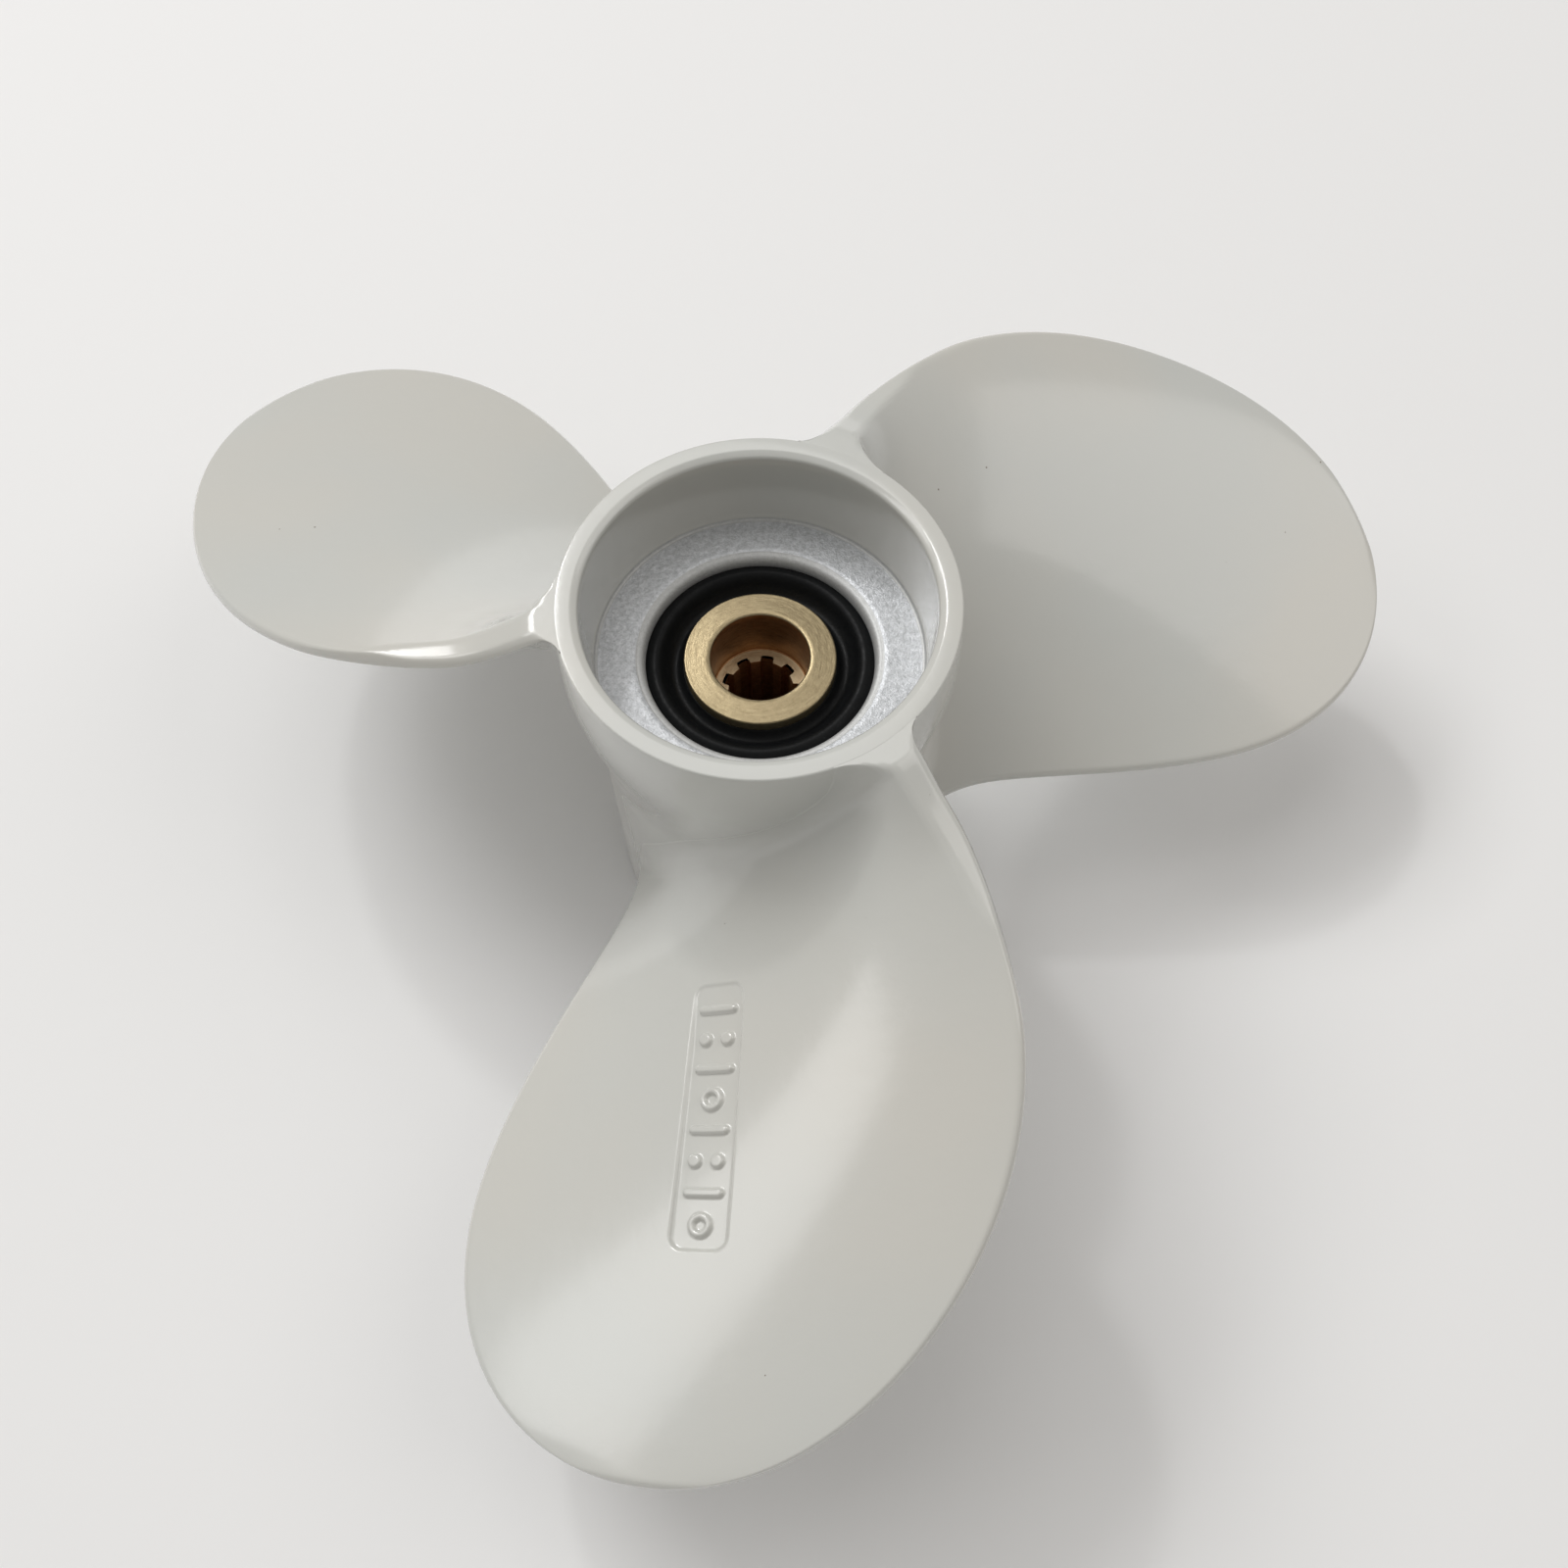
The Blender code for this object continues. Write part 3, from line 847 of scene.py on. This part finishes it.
@dataclass
class Bush:
    """The rubber bush: a thick tube with a rounded rib round each end.

    Attributes:
        hub: The hub that it is pressed into.
        inner_radius: Radius of its bore, just clear of the sleeve.
        bore_gap: How far its outer side stays inside the hub's bore.
        face_depth: Depth of its front face behind the hub's front.
        rear_height: Height of its rear face.
        crest_radius: Radius of the rib's crest.
        crest_rise: Height of the rib.
        inner_slope: Width of the rib's inner slope.
        outer_slope: Width of the rib's outer slope.
        groove_radius: Radius of the groove between the rib and the sleeve.
        groove_depth: Depth of that groove.
        groove_slope: Width of each of its slopes.
        roll_width: Width over which the outer edge rolls over.
        roll_drop: How far that edge drops.
        face_points: Points across a face.
        steps: Steps in a full turn.
    """

    hub: Hub
    inner_radius: float = 9.72 * MM
    bore_gap: float = 0.2 * MM
    face_depth: float = 14.2 * MM
    rear_height: float = 13.0 * MM
    crest_radius: float = 13.35 * MM
    crest_rise: float = 0.8 * MM
    inner_slope: float = 1.5 * MM
    outer_slope: float = 1.7 * MM
    groove_radius: float = 10.9 * MM
    groove_depth: float = 1.4 * MM
    groove_slope: float = 2.0 * MM
    roll_width: float = 0.6 * MM
    roll_drop: float = 1.0 * MM
    face_points: int = 56
    steps: int = 192

    def face(self) -> list[Place]:
        """Points across a face: a cos^2 rib less a cos^2 groove, the outer edge rolled over.

        Returns:
            (radius, rise over the face) from the bore outwards.
        """
        outer = self.hub.bore_radius - self.bore_gap
        radius = np.linspace(self.inner_radius, outer, self.face_points)
        slope = np.where(radius < self.crest_radius, self.inner_slope, self.outer_slope)
        near = np.clip((radius - self.crest_radius) / slope, -1.0, 1.0)
        low = np.clip((radius - self.groove_radius) / self.groove_slope, -1.0, 1.0)
        rib = self.crest_rise * np.cos(0.5 * np.pi * near) ** 2
        groove = self.groove_depth * np.cos(0.5 * np.pi * low) ** 2
        roll = self.roll_drop * np.clip(1.0 - (outer - radius) / self.roll_width, 0.0, 1.0) ** 2
        return list(zip(radius.tolist(), (rib - groove - roll).tolist()))

    def build(self) -> bpy.types.Object:
        """Builds the bush.

        Returns:
            The piece.
        """
        front = self.hub.length - self.face_depth
        line = Outline()
        for radius, rise in self.face():
            line.to(radius, front + rise)
        line.to(self.hub.bore_radius - self.bore_gap, self.rear_height + self.roll_drop, 0, 6)
        for radius, rise in reversed(self.face()[:-1]):
            line.to(radius, self.rear_height - rise)
        line.to(self.inner_radius, front - self.groove_depth - 0.5 * MM, 0, 6)
        return turned_piece("rubber_bush_moulded", line, self.steps, 180.0)


class SleeveSurface(Enum):
    """The finishes on the sleeve, in the order of its material slots."""

    FACE = 0
    # Painted shade and reflection: this slot holds a darker, redder copy of the face's brass.
    BORE = 1
    # Painted light: this slot holds a much lighter copy of the face's brass.
    LIT_FLOOR = 2
    # Painted light and reflection: this slot holds a lighter, redder copy of the face's brass.
    SPLINES = 3


@dataclass
class Sleeve:
    """The brass sleeve: chamfered tube, counterbored in front, splined behind.

    Attributes:
        hub: The hub that it carries.
        radius: Outer radius.
        face_depth: Depth of its front face behind the hub's front.
        rear_height: Height of its rear face.
        crown: How much its front face falls from the bore to the rim.
        chamfer: Width of its chamfers.
        corner: Radius of the counterbore's inner corner.
        counterbore_radius: Radius of the counterbore.
        counterbore_depth: Depth of the counterbore.
        tip_radius: Radius at the spline teeth.
        root_radius: Radius at the grooves between them.
        flare: How much wider the splines are at both ends.
        teeth: Number of teeth.
        steps_per_tooth: Steps round the bore for each tooth.
        groove_inside: Place in a tooth's turn where a groove's side starts.
        groove_outside: Place where that side reaches the tooth's tip.
    """

    hub: Hub
    radius: float = 9.7 * MM
    face_depth: float = 13.0 * MM
    rear_height: float = 9.0 * MM
    crown: float = 0.15 * MM
    chamfer: float = 0.2 * MM
    corner: float = 0.2 * MM
    counterbore_radius: float = 6.3 * MM
    counterbore_depth: float = 8.2 * MM
    tip_radius: float = 4.2 * MM
    root_radius: float = 5.1 * MM
    flare: float = 0.12 * MM
    teeth: int = 9
    steps_per_tooth: int = 24
    groove_inside: float = 0.22
    groove_outside: float = 0.29

    def bore_radii(self, angle: Array) -> Array:
        """Radius round the splines: a steep-sided wave with one groove for each tooth.

        Args:
            angle: Angles round the shaft.

        Returns:
            The radius at each angle.
        """
        phase = (angle * self.teeth / (2.0 * np.pi) + 0.5) % 1.0 - 0.5
        groove = 1.0 - smoothstep(np.abs(phase), self.groove_inside, self.groove_outside)
        return self.tip_radius + (self.root_radius - self.tip_radius) * groove

    def spline_heights(self, shoulder: float) -> Array:
        """Heights of the rings along the splines, closer together at the rear end.

        Args:
            shoulder: Height of the counterbore's floor.

        Returns:
            The heights, rising.
        """
        first, second, third = self.rear_height + np.array([0.0, 0.25, 1.0]) * MM
        return np.concatenate([[first, second], np.linspace(third, shoulder - 0.25 * MM, 6), [shoulder]])

    def build(self) -> bpy.types.Object:
        """Builds the sleeve: a turned outline whose inner rings follow the splines.

        Returns:
            The piece.
        """
        turned, bore, lit_floor, splines = (surface.value for surface in SleeveSurface)
        face, c = self.hub.length - self.face_depth, self.chamfer
        low, shoulder, inner = face - self.crown, face - self.counterbore_depth, self.counterbore_radius
        line = Outline()
        line.to(self.radius - c, low, turned)
        line.round_to((self.radius - 0.4 * c, low), (self.radius, low - c), turned, 4)
        line.to(self.radius, self.rear_height + c, turned, 6)
        line.to(self.radius - c, self.rear_height, turned)
        line.to(self.root_radius + 1.2 * MM, self.rear_height, turned, 3)
        start, heights = len(line.points), self.spline_heights(shoulder)
        for i, height in enumerate(heights):
            line.to(self.tip_radius, float(height), splines if i else turned)
        end = len(line.points)
        # The counterbore's floor takes the much lighter brass, painted light.
        line.to(inner - self.corner, shoulder, lit_floor, 3)
        line.round_to((inner, shoulder), (inner, shoulder + self.corner), bore, 3)
        line.to(inner, face - c, bore, 8)
        line.round_to((inner + 0.3 * c, face - 0.3 * c), (inner + c, face), turned, 4)
        line.to(self.radius - 1.5 * c, low, turned, 6)
        steps = self.teeth * self.steps_per_tooth
        points = turned_grid(np.array(line.points), steps)
        flare = np.zeros((len(heights), 1))
        flare[[0, -1]] = self.flare
        angle = np.linspace(0.0, 2.0 * np.pi, steps, endpoint=False)
        radii = self.bore_radii(angle)[None, :] + flare
        points[start:end, :, 0] = radii * np.cos(angle)
        points[start:end, :, 1] = radii * np.sin(angle)
        return turned_piece("splined_sleeve_turned", line, steps, 35.0, points)


# ---------------------------------------------------------------- finishes


COLOUR_A, COLOUR_B, COLOUR_RESULT = 6, 7, 2


def set_inputs(node: Node, values: dict[str, object]) -> None:
    """Sets a node's inputs by name.

    Args:
        node: The node.
        values: Input names and their values.
    """
    for key, value in values.items():
        node.inputs[key].default_value = value


def add_node(tree: Tree, kind: str, values: dict[str, object] | None = None, **attributes: object) -> Node:
    """Adds a node.

    Args:
        tree: The tree that gets it.
        kind: Its type, without the ShaderNode prefix.
        values: Input values by name.
        attributes: Attributes to set on it.

    Returns:
        The node.
    """
    node = tree.nodes.new("ShaderNode" + kind)
    for key, value in attributes.items():
        setattr(node, key, value)
    set_inputs(node, values or {})
    return node


def link(tree: Tree, *wires: tuple[Node, str | int, Node, str | int]) -> None:
    """Links nodes.

    Args:
        tree: The tree that holds them.
        wires: (node, its output, next node, its input) for each link.
    """
    for source, output, target, entry in wires:
        tree.links.new(source.outputs[output], target.inputs[entry])


def new_group(name: str, inputs: dict[str, float], output: str) -> tuple[Tree, Node, Node]:
    """Makes an empty shader node group that reads a place called Vector.

    Args:
        name: The group's name.
        inputs: Number inputs and their defaults.
        output: Its only output, a number.

    Returns:
        The group, its input node and its output node.
    """
    group = bpy.data.node_groups.new(name, "ShaderNodeTree")
    group.interface.new_socket("Vector", in_out="INPUT", socket_type="NodeSocketVector")
    for key, value in inputs.items():
        socket = group.interface.new_socket(key, in_out="INPUT", socket_type="NodeSocketFloat")
        socket.default_value = value
    group.interface.new_socket(output, in_out="OUTPUT", socket_type="NodeSocketFloat")
    return group, group.nodes.new("NodeGroupInput"), group.nodes.new("NodeGroupOutput")


def speck_group() -> Tree:
    """Sparse dust specks: 1 inside a small ball round some cells' points, else 0.

    Returns:
        The group, with inputs Scale, Size and Share, and output Mask.
    """
    group, start, end = new_group("specks", {"Scale": 90.0, "Size": 0.05, "Share": 0.2}, "Mask")
    cells = add_node(group, "TexVoronoi", feature="F1")
    colour = add_node(group, "SeparateColor")
    near, chosen = (add_node(group, "Math", operation="LESS_THAN") for _ in range(2))
    size, both = (add_node(group, "Math", operation="MULTIPLY") for _ in range(2))
    link(
        group, (start, "Vector", cells, "Vector"), (start, "Scale", cells, "Scale"),
        (cells, "Color", colour, "Color"), (colour, "Green", size, 0), (start, "Size", size, 1),
        (cells, "Distance", near, 0), (size, 0, near, 1), (colour, "Red", chosen, 0),
        (start, "Share", chosen, 1), (near, 0, both, 0), (chosen, 0, both, 1), (both, 0, end, "Mask"),
    )
    return group


def grain_group() -> Tree:
    """Grain in two sizes: coarse noise plus finer noise, about 0.5 in the middle.

    Returns:
        The group, with inputs Coarse, Fine and Mix, and output Height.
    """
    group, start, end = new_group("grain", {"Coarse": 300.0, "Fine": 2000.0, "Mix": 0.5}, "Height")
    coarse = add_node(group, "TexNoise", {"Detail": 2.0, "Roughness": 0.5})
    fine = add_node(group, "TexNoise", {"Detail": 2.0, "Roughness": 0.6})
    mix = add_node(group, "Mix")
    link(
        group, (start, "Vector", coarse, "Vector"), (start, "Vector", fine, "Vector"),
        (start, "Coarse", coarse, "Scale"), (start, "Fine", fine, "Scale"), (start, "Mix", mix, "Factor"),
        (coarse, "Fac", mix, "A"), (fine, "Fac", mix, "B"), (mix, "Result", end, "Height"),
    )
    return group


@dataclass(frozen=True)
class Effects:
    """Node groups that several finishes share.

    Attributes:
        specks: Sparse dust specks.
        grain: Grain in two sizes.
    """

    specks: Tree
    grain: Tree


class Look:
    """A material while it is made.

    Attributes:
        material: The material.
        tree: Its node tree.
        shader: Its Principled shader.
        place: The node that gives the object's own coordinates, in metres.
    """

    def __init__(self, name: str) -> None:
        """Starts a material with a Principled shader.

        Args:
            name: The material's name.
        """
        self.material: Material = bpy.data.materials.new(name)
        self.material.use_nodes = True
        self.tree: Tree = self.material.node_tree
        self.shader: Node = self.tree.nodes["Principled BSDF"]
        self.place: Node = add_node(self.tree, "TexCoord")

    def add(self, kind: str, values: dict[str, object] | None = None, **attributes: object) -> Node:
        """Adds a node to the material, as add_node does."""
        return add_node(self.tree, kind, values, **attributes)

    def group(self, group: Tree, values: dict[str, float], vector: Socket | None = None) -> Node:
        """Places a group.

        Args:
            group: The group.
            values: Its number inputs.
            vector: The place that it reads, unless that is the object's coordinates.

        Returns:
            The group's node.
        """
        node = self.add("Group", node_tree=group)
        self.tree.links.new(vector or self.place.outputs["Object"], node.inputs["Vector"])
        set_inputs(node, values)
        return node

    def two_tone(self, node: Node, low: float, high: float, dark: Colour, light: Colour) -> Node:
        """Blends two colours by a node's first output.

        Args:
            node: The node.
            low: Value at which the colour is dark.
            high: Value at which it is light.
            dark: Colour at low values.
            light: Colour at high values.

        Returns:
            The node that gives the blend as Color.
        """
        ramp = self.add("ValToRGB")
        for element, place, colour in zip(ramp.color_ramp.elements, (low, high), (dark, light)):
            element.position, element.color = place, colour
        link(self.tree, (node, 0, ramp, "Fac"))
        return ramp

    def emboss(self, node: Node, strength: float, depth: float) -> None:
        """Bumps the surface by a node's first output.

        Args:
            node: The node that gives the height.
            strength: Strength of the relief.
            depth: Its depth.
        """
        bump = self.add("Bump", {"Strength": strength, "Distance": depth})
        link(self.tree, (node, 0, bump, "Height"), (bump, "Normal", self.shader, "Normal"))

    def shade(self, values: dict[str, object]) -> Material:
        """Sets the shader's constant inputs and returns the finished material."""
        set_inputs(self.shader, values)
        return self.material


@dataclass(frozen=True)
class WhitePaint:
    """Glossy off-white enamel, faintly patchy, with a few dust specks and a soft orange peel.

    Attributes:
        warm: Colour of the warmer patches.
        cool: Colour of the cooler patches.
        speck: Colour of the specks.
        roughness: Roughness of the gloss.
    """

    warm: Colour = (0.575, 0.563, 0.520, 1.0)
    cool: Colour = (0.548, 0.556, 0.530, 1.0)
    speck: Colour = (0.24, 0.21, 0.18, 1.0)
    roughness: float = 0.2

    def make(self, effects: Effects) -> Material:
        """Makes the material.

        Args:
            effects: The shared node groups.

        Returns:
            The material.
        """
        look = Look("white_enamel")
        patches = look.add("TexNoise", {"Scale": 22.0, "Detail": 2.0, "Roughness": 0.5})
        spread = look.two_tone(patches, 0.35, 0.65, self.cool, self.warm)
        specks = look.group(effects.specks, {"Scale": 420.0, "Size": 0.075, "Share": 0.08})
        dotted = look.add("Mix", data_type="RGBA")
        dotted.inputs[COLOUR_B].default_value = self.speck
        link(
            look.tree, (look.place, "Object", patches, "Vector"), (specks, "Mask", dotted, "Factor"),
            (spread, "Color", dotted, COLOUR_A), (dotted, COLOUR_RESULT, look.shader, "Base Color"),
        )
        peel = look.group(effects.grain, {"Coarse": 260.0, "Fine": 900.0, "Mix": 0.25})
        look.emboss(peel, 0.12, 0.4 * MM)
        coat = {"Coat Weight": 0.8, "Coat Roughness": 0.11}
        return look.shade({"Roughness": self.roughness, "Specular IOR Level": 0.5, **coat})


@dataclass(frozen=True)
class BareCasting:
    """Bare cast aluminium, bluish silver, with a fine sandy grain.

    Attributes:
        name: The material's name.
        dark: Colour of the darker grains.
        light: Colour of the lighter grains.
        coarse: Grains for each metre, in the coarser size.
        bump: Strength of the grain's relief.
        roughness: Roughness of the metal.
    """

    name: str = "bare_aluminium"
    dark: Colour = (0.43, 0.445, 0.46, 1.0)
    light: Colour = (0.66, 0.675, 0.70, 1.0)
    coarse: float = 1500.0
    bump: float = 0.55
    roughness: float = 0.42

    def make(self, effects: Effects) -> Material:
        """Makes the material.

        Args:
            effects: The shared node groups.

        Returns:
            The material.
        """
        look = Look(self.name)
        grain = look.group(effects.grain, {"Coarse": self.coarse, "Fine": 3.0 * self.coarse, "Mix": 0.5})
        tones = look.two_tone(grain, 0.36, 0.64, self.dark, self.light)
        link(look.tree, (tones, "Color", look.shader, "Base Color"))
        look.emboss(grain, self.bump, 0.25 * MM)
        return look.shade({"Metallic": 0.4, "Roughness": self.roughness})


@dataclass(frozen=True)
class BushRubber:
    """Black moulded rubber with a dull, faintly mottled skin.

    Attributes:
        colour: The rubber's colour.
        dull: Roughness of its shinier and duller spots.
    """

    colour: Colour = (0.0035, 0.004, 0.0045, 1.0)
    dull: tuple[float, float] = (0.38, 0.58)

    def make(self, effects: Effects) -> Material:
        """Makes the material.

        Args:
            effects: The shared node groups.

        Returns:
            The material.
        """
        look = Look("moulded_rubber")
        grain = look.group(effects.grain, {"Coarse": 700.0, "Fine": 2600.0, "Mix": 0.5})
        low, high = self.dull
        spots = look.add("MapRange", {"From Min": 0.35, "From Max": 0.65, "To Min": low, "To Max": high})
        link(look.tree, (grain, "Height", spots, "Value"), (spots, "Result", look.shader, "Roughness"))
        look.emboss(grain, 0.35, 0.2 * MM)
        return look.shade({"Base Color": self.colour, "Specular IOR Level": 0.16})


@dataclass(frozen=True)
class SleeveBrass:
    """Machined brass, with fine turning marks round the shaft.

    Attributes:
        name: The material's name.
        dark: Colour in the marks.
        light: Colour between them.
        roughness: Roughness of the metal.
        stretch: How far a radian counts along the marks, in metres.
    """

    name: str = "turned_brass"
    dark: Colour = (0.24, 0.19, 0.11, 1.0)
    light: Colour = (0.35, 0.285, 0.172, 1.0)
    roughness: float = 0.36
    stretch: float = 0.0016

    def polar_place(self, look: Look) -> Socket:
        """The place as (radius, stretched angle, height), which draws noise out round the shaft.

        Args:
            look: The material.

        Returns:
            The place's socket.
        """
        split, radius = look.add("SeparateXYZ"), look.add("VectorMath", operation="LENGTH")
        flat, polar = look.add("CombineXYZ"), look.add("CombineXYZ")
        angle, slow = look.add("Math", operation="ARCTAN2"), look.add("Math", operation="MULTIPLY")
        slow.inputs[1].default_value = self.stretch
        link(
            look.tree, (look.place, "Object", split, "Vector"), (split, "X", flat, "X"),
            (split, "Y", flat, "Y"), (flat, "Vector", radius, 0), (split, "Y", angle, 0),
            (split, "X", angle, 1), (angle, 0, slow, 0), (radius, "Value", polar, "X"),
            (slow, 0, polar, "Y"), (split, "Z", polar, "Z"),
        )
        return polar.outputs["Vector"]

    def make(self, effects: Effects) -> Material:
        """Makes the material: turning marks mixed with a sandy grain.

        Args:
            effects: The shared node groups.

        Returns:
            The material.
        """
        look = Look(self.name)
        turning = {"Coarse": 2200.0, "Fine": 6000.0, "Mix": 0.4}
        marks = look.group(effects.grain, turning, self.polar_place(look))
        sand = look.group(effects.grain, {"Coarse": 1500.0, "Fine": 4200.0, "Mix": 0.5})
        both = look.add("Mix", {"Factor": 0.4})
        tones = look.two_tone(both, 0.36, 0.62, self.dark, self.light)
        link(
            look.tree, (marks, "Height", both, "A"), (sand, "Height", both, "B"),
            (tones, "Color", look.shader, "Base Color"),
        )
        look.emboss(both, 0.3, 0.2 * MM)
        return look.shade({"Metallic": 0.9, "Roughness": self.roughness})


# ---------------------------------------------------------------- studio


AIM_HEIGHT = 30.0 * MM


def facing(back: Array, right: Array) -> Matrix:
    """Rotation whose +Z axis is back and whose +X axis is right, squared up to it.

    Args:
        back: Direction that the thing looks away from.
        right: Direction to its right.

    Returns:
        A 3 x 3 rotation matrix.
    """
    z = np.array(back) / np.linalg.norm(back)
    x = np.array(right) - np.dot(right, z) * z
    x /= np.linalg.norm(x)
    return Matrix(np.stack([x, np.cross(z, x), z], axis=1).tolist())


@dataclass(frozen=True)
class Lamp:
    """A soft rectangular studio light, placed by its direction from the propeller.

    Attributes:
        name: Its name.
        azimuth: Direction round the shaft, from +X towards +Y, in degrees.
        elevation: Direction above the floor, in degrees.
        width: Width as seen from the propeller, in degrees.
        height: Height as seen from the propeller, in degrees.
        strength: Brightness of its surface.
        colour: Colour of its light.
        distance: How far away it hangs.
    """

    name: str
    azimuth: float
    elevation: float
    width: float
    height: float
    strength: float
    colour: Spot = (1.0, 1.0, 1.0)
    distance: float = 2.2

    def hang(self) -> None:
        """Adds the light; its power is brightness * pi * area."""
        azimuth, elevation = math.radians(self.azimuth), math.radians(self.elevation)
        level = math.cos(elevation)
        back = np.array([level * math.cos(azimuth), level * math.sin(azimuth), math.sin(elevation)])
        data = bpy.data.lights.new(self.name, "AREA")
        data.shape = "RECTANGLE"
        data.size = 2.0 * self.distance * math.tan(math.radians(0.5 * self.width))
        data.size_y = 2.0 * self.distance * math.tan(math.radians(0.5 * self.height))
        data.energy, data.color = self.strength * math.pi * data.size * data.size_y, self.colour
        lamp = bpy.data.objects.new(self.name, data)
        bpy.context.scene.collection.objects.link(lamp)
        lamp.location = self.distance * back + np.array([0.0, 0.0, AIM_HEIGHT])
        lamp.rotation_euler = facing(back, np.cross((0.0, 0.0, 1.0), back)).to_euler()


@dataclass
class Studio:
    """Pale floor, soft lights and the camera.

    Attributes:
        floor_size: Side of the floor.
        camera_place: Where the camera stands.
        camera_forward: Direction it looks in.
        camera_right: Direction to its right.
        lens_mm: Focal length, in millimetres.
        sensor_mm: Width of the sensor, in millimetres.
        surround: Colour of the light from all round.
        surround_strength: Brightness of that light.
    """

    floor_size: float = 6.0
    camera_place: Spot = (0.00215, -0.09677, 0.20594)
    camera_forward: Spot = (0.0040, 0.4514, -0.8923)
    camera_right: Spot = (0.99996, -0.0093, -0.0002)
    lens_mm: float = 33.1
    sensor_mm: float = 36.0
    surround: Colour = (1.0, 0.975, 0.94, 1.0)
    surround_strength: float = 0.40

    def floor(self) -> None:
        """Adds the floor, just under the propeller."""
        half = 0.5 * self.floor_size
        corners = [(-half, -half), (half, -half), (half, half), (-half, half)]
        points = np.array([(x, y, -0.2 * MM) for x, y in corners])
        floor = mesh_object("floor", points, np.array([[0, 1, 2, 3]]))
        pale = Look("floor_white").shade({"Base Color": (0.80, 0.80, 0.80, 1.0), "Roughness": 0.7})
        floor.data.materials.append(pale)

    def lights(self) -> None:
        """Adds the lights and an even pale surround."""
        world = bpy.data.worlds.new("surround")
        world.use_nodes = True
        background = world.node_tree.nodes["Background"]
        set_inputs(background, {"Color": self.surround, "Strength": self.surround_strength})
        bpy.context.scene.world = world
        bpy.context.scene.view_settings.view_transform = "Standard"
        for lamp in LAMPS:
            lamp.hang()

    def camera(self) -> None:
        """Adds the camera, level with the floor to within a degree."""
        data = bpy.data.cameras.new("camera")
        data.lens, data.sensor_width = self.lens_mm, self.sensor_mm
        data.clip_start, data.clip_end = 0.01, 20.0
        camera = bpy.data.objects.new("camera", data)
        bpy.context.scene.collection.objects.link(camera)
        turn = facing(-np.array(self.camera_forward), np.array(self.camera_right))
        camera.matrix_world = Matrix.Translation(self.camera_place) @ turn.to_4x4()
        bpy.context.scene.camera = camera


LAMPS = (
    Lamp("overhead", 122.0, 66.0, 42.0, 38.0, 1.3, (1.0, 0.99, 0.98)),
    Lamp("key", 134.0, 47.0, 24.0, 20.0, 6.5),
    Lamp("spark", 118.0, 49.0, 3.5, 3.5, 70.0),
    Lamp("window", 173.0, 46.0, 24.0, 13.0, 2.45),
    Lamp("right", 12.0, 52.0, 34.0, 34.0, 1.05, (1.0, 0.97, 0.94)),
)


# ---------------------------------------------------------------- assembly


@dataclass(frozen=True)
class Home:
    """Where a piece belongs.

    Attributes:
        body: Body that it moves with.
        node: CAD node that it stands for.
        slot: The record's material slot; not used.
    """

    body: str
    node: str
    slot: str


CASTING = Home("casting", "propeller_casting", "white_paint")
BUSH = Home("bush", "rubber_bush", "bush_rubber")
SLEEVE = Home("sleeve", "splined_sleeve", "sleeve_brass")

WORN_LIP = BareCasting(
    "worn_aluminium", (0.44, 0.445, 0.44, 1.0), (0.54, 0.545, 0.54, 1.0), 2200.0, 0.2, 0.5
)
BRASSES = (
    SleeveBrass(),
    # The counterbore's wall: a darker, redder copy of the same brass, painted shade and reflection of the
    # dark counterbore.
    SleeveBrass("painted_shade_bore_brass", (0.26, 0.12, 0.05, 1.0), (0.40, 0.22, 0.10, 1.0), 0.42),
    # The counterbore's floor: a much lighter copy of the same brass, painted light on the floor that faces
    # up out of the counterbore.
    SleeveBrass("painted_light_floor_brass", (0.62, 0.52, 0.34, 1.0), (0.80, 0.69, 0.47, 1.0), 0.5),
    # The splines: a lighter, redder copy of the same brass, painted light and reflection from inside the
    # bore.
    SleeveBrass("painted_reflection_spline_brass", (0.38, 0.21, 0.10, 1.0), (0.56, 0.34, 0.18, 1.0), 0.4),
)


@dataclass
class Propeller:
    """The whole propeller.

    Attributes:
        blade_count: Number of blades.
        first_blade_degrees: Angle of the marked blade's leading-edge root.
        marked_side_steps: Points along each face of a section, on the blade with the plate.
    """

    blade_count: int = 3
    first_blade_degrees: float = -45.0
    marked_side_steps: int = 116

    def build(self) -> None:
        """Builds and dresses every piece, and puts it on its body."""
        effects = Effects(speck_group(), grain_group())
        finishes = (WhitePaint(), BareCasting(), WORN_LIP, BushRubber())
        paint, cast, lip, rubber = (finish.make(effects) for finish in finishes)
        hub = Hub()
        self.place(hub.build(), CASTING, [paint, cast, lip])
        for i in range(self.blade_count):
            start = self.first_blade_degrees + i * 360.0 / self.blade_count
            blade = Blade(hub, start)
            if i == 0:
                blade = Blade(hub, start, side_steps=self.marked_side_steps, plate=SizePlate())
            self.place(blade.build(f"casting_blade_{i + 1}"), CASTING, [paint])
        self.place(Bush(hub).build(), BUSH, [rubber])
        self.place(Sleeve(hub).build(), SLEEVE, [finish.make(effects) for finish in BRASSES])

    def place(self, piece: bpy.types.Object, home: Home, finishes: list[Material]) -> None:
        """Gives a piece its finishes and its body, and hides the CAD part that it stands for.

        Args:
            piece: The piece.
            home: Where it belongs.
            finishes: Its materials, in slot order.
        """
        for finish in finishes:
            piece.data.materials.append(finish)
        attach(piece, home.body)
        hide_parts(home.node)
        LOG.info("%s: %d faces on %s", piece.name, len(piece.data.polygons), home.body)


def main() -> None:
    """Builds the propeller and its studio."""
    logging.basicConfig(level=logging.INFO, format="%(name)s %(message)s")
    Propeller().build()
    studio = Studio()
    studio.floor()
    studio.lights()
    studio.camera()


if __name__ == "__main__":
    main()
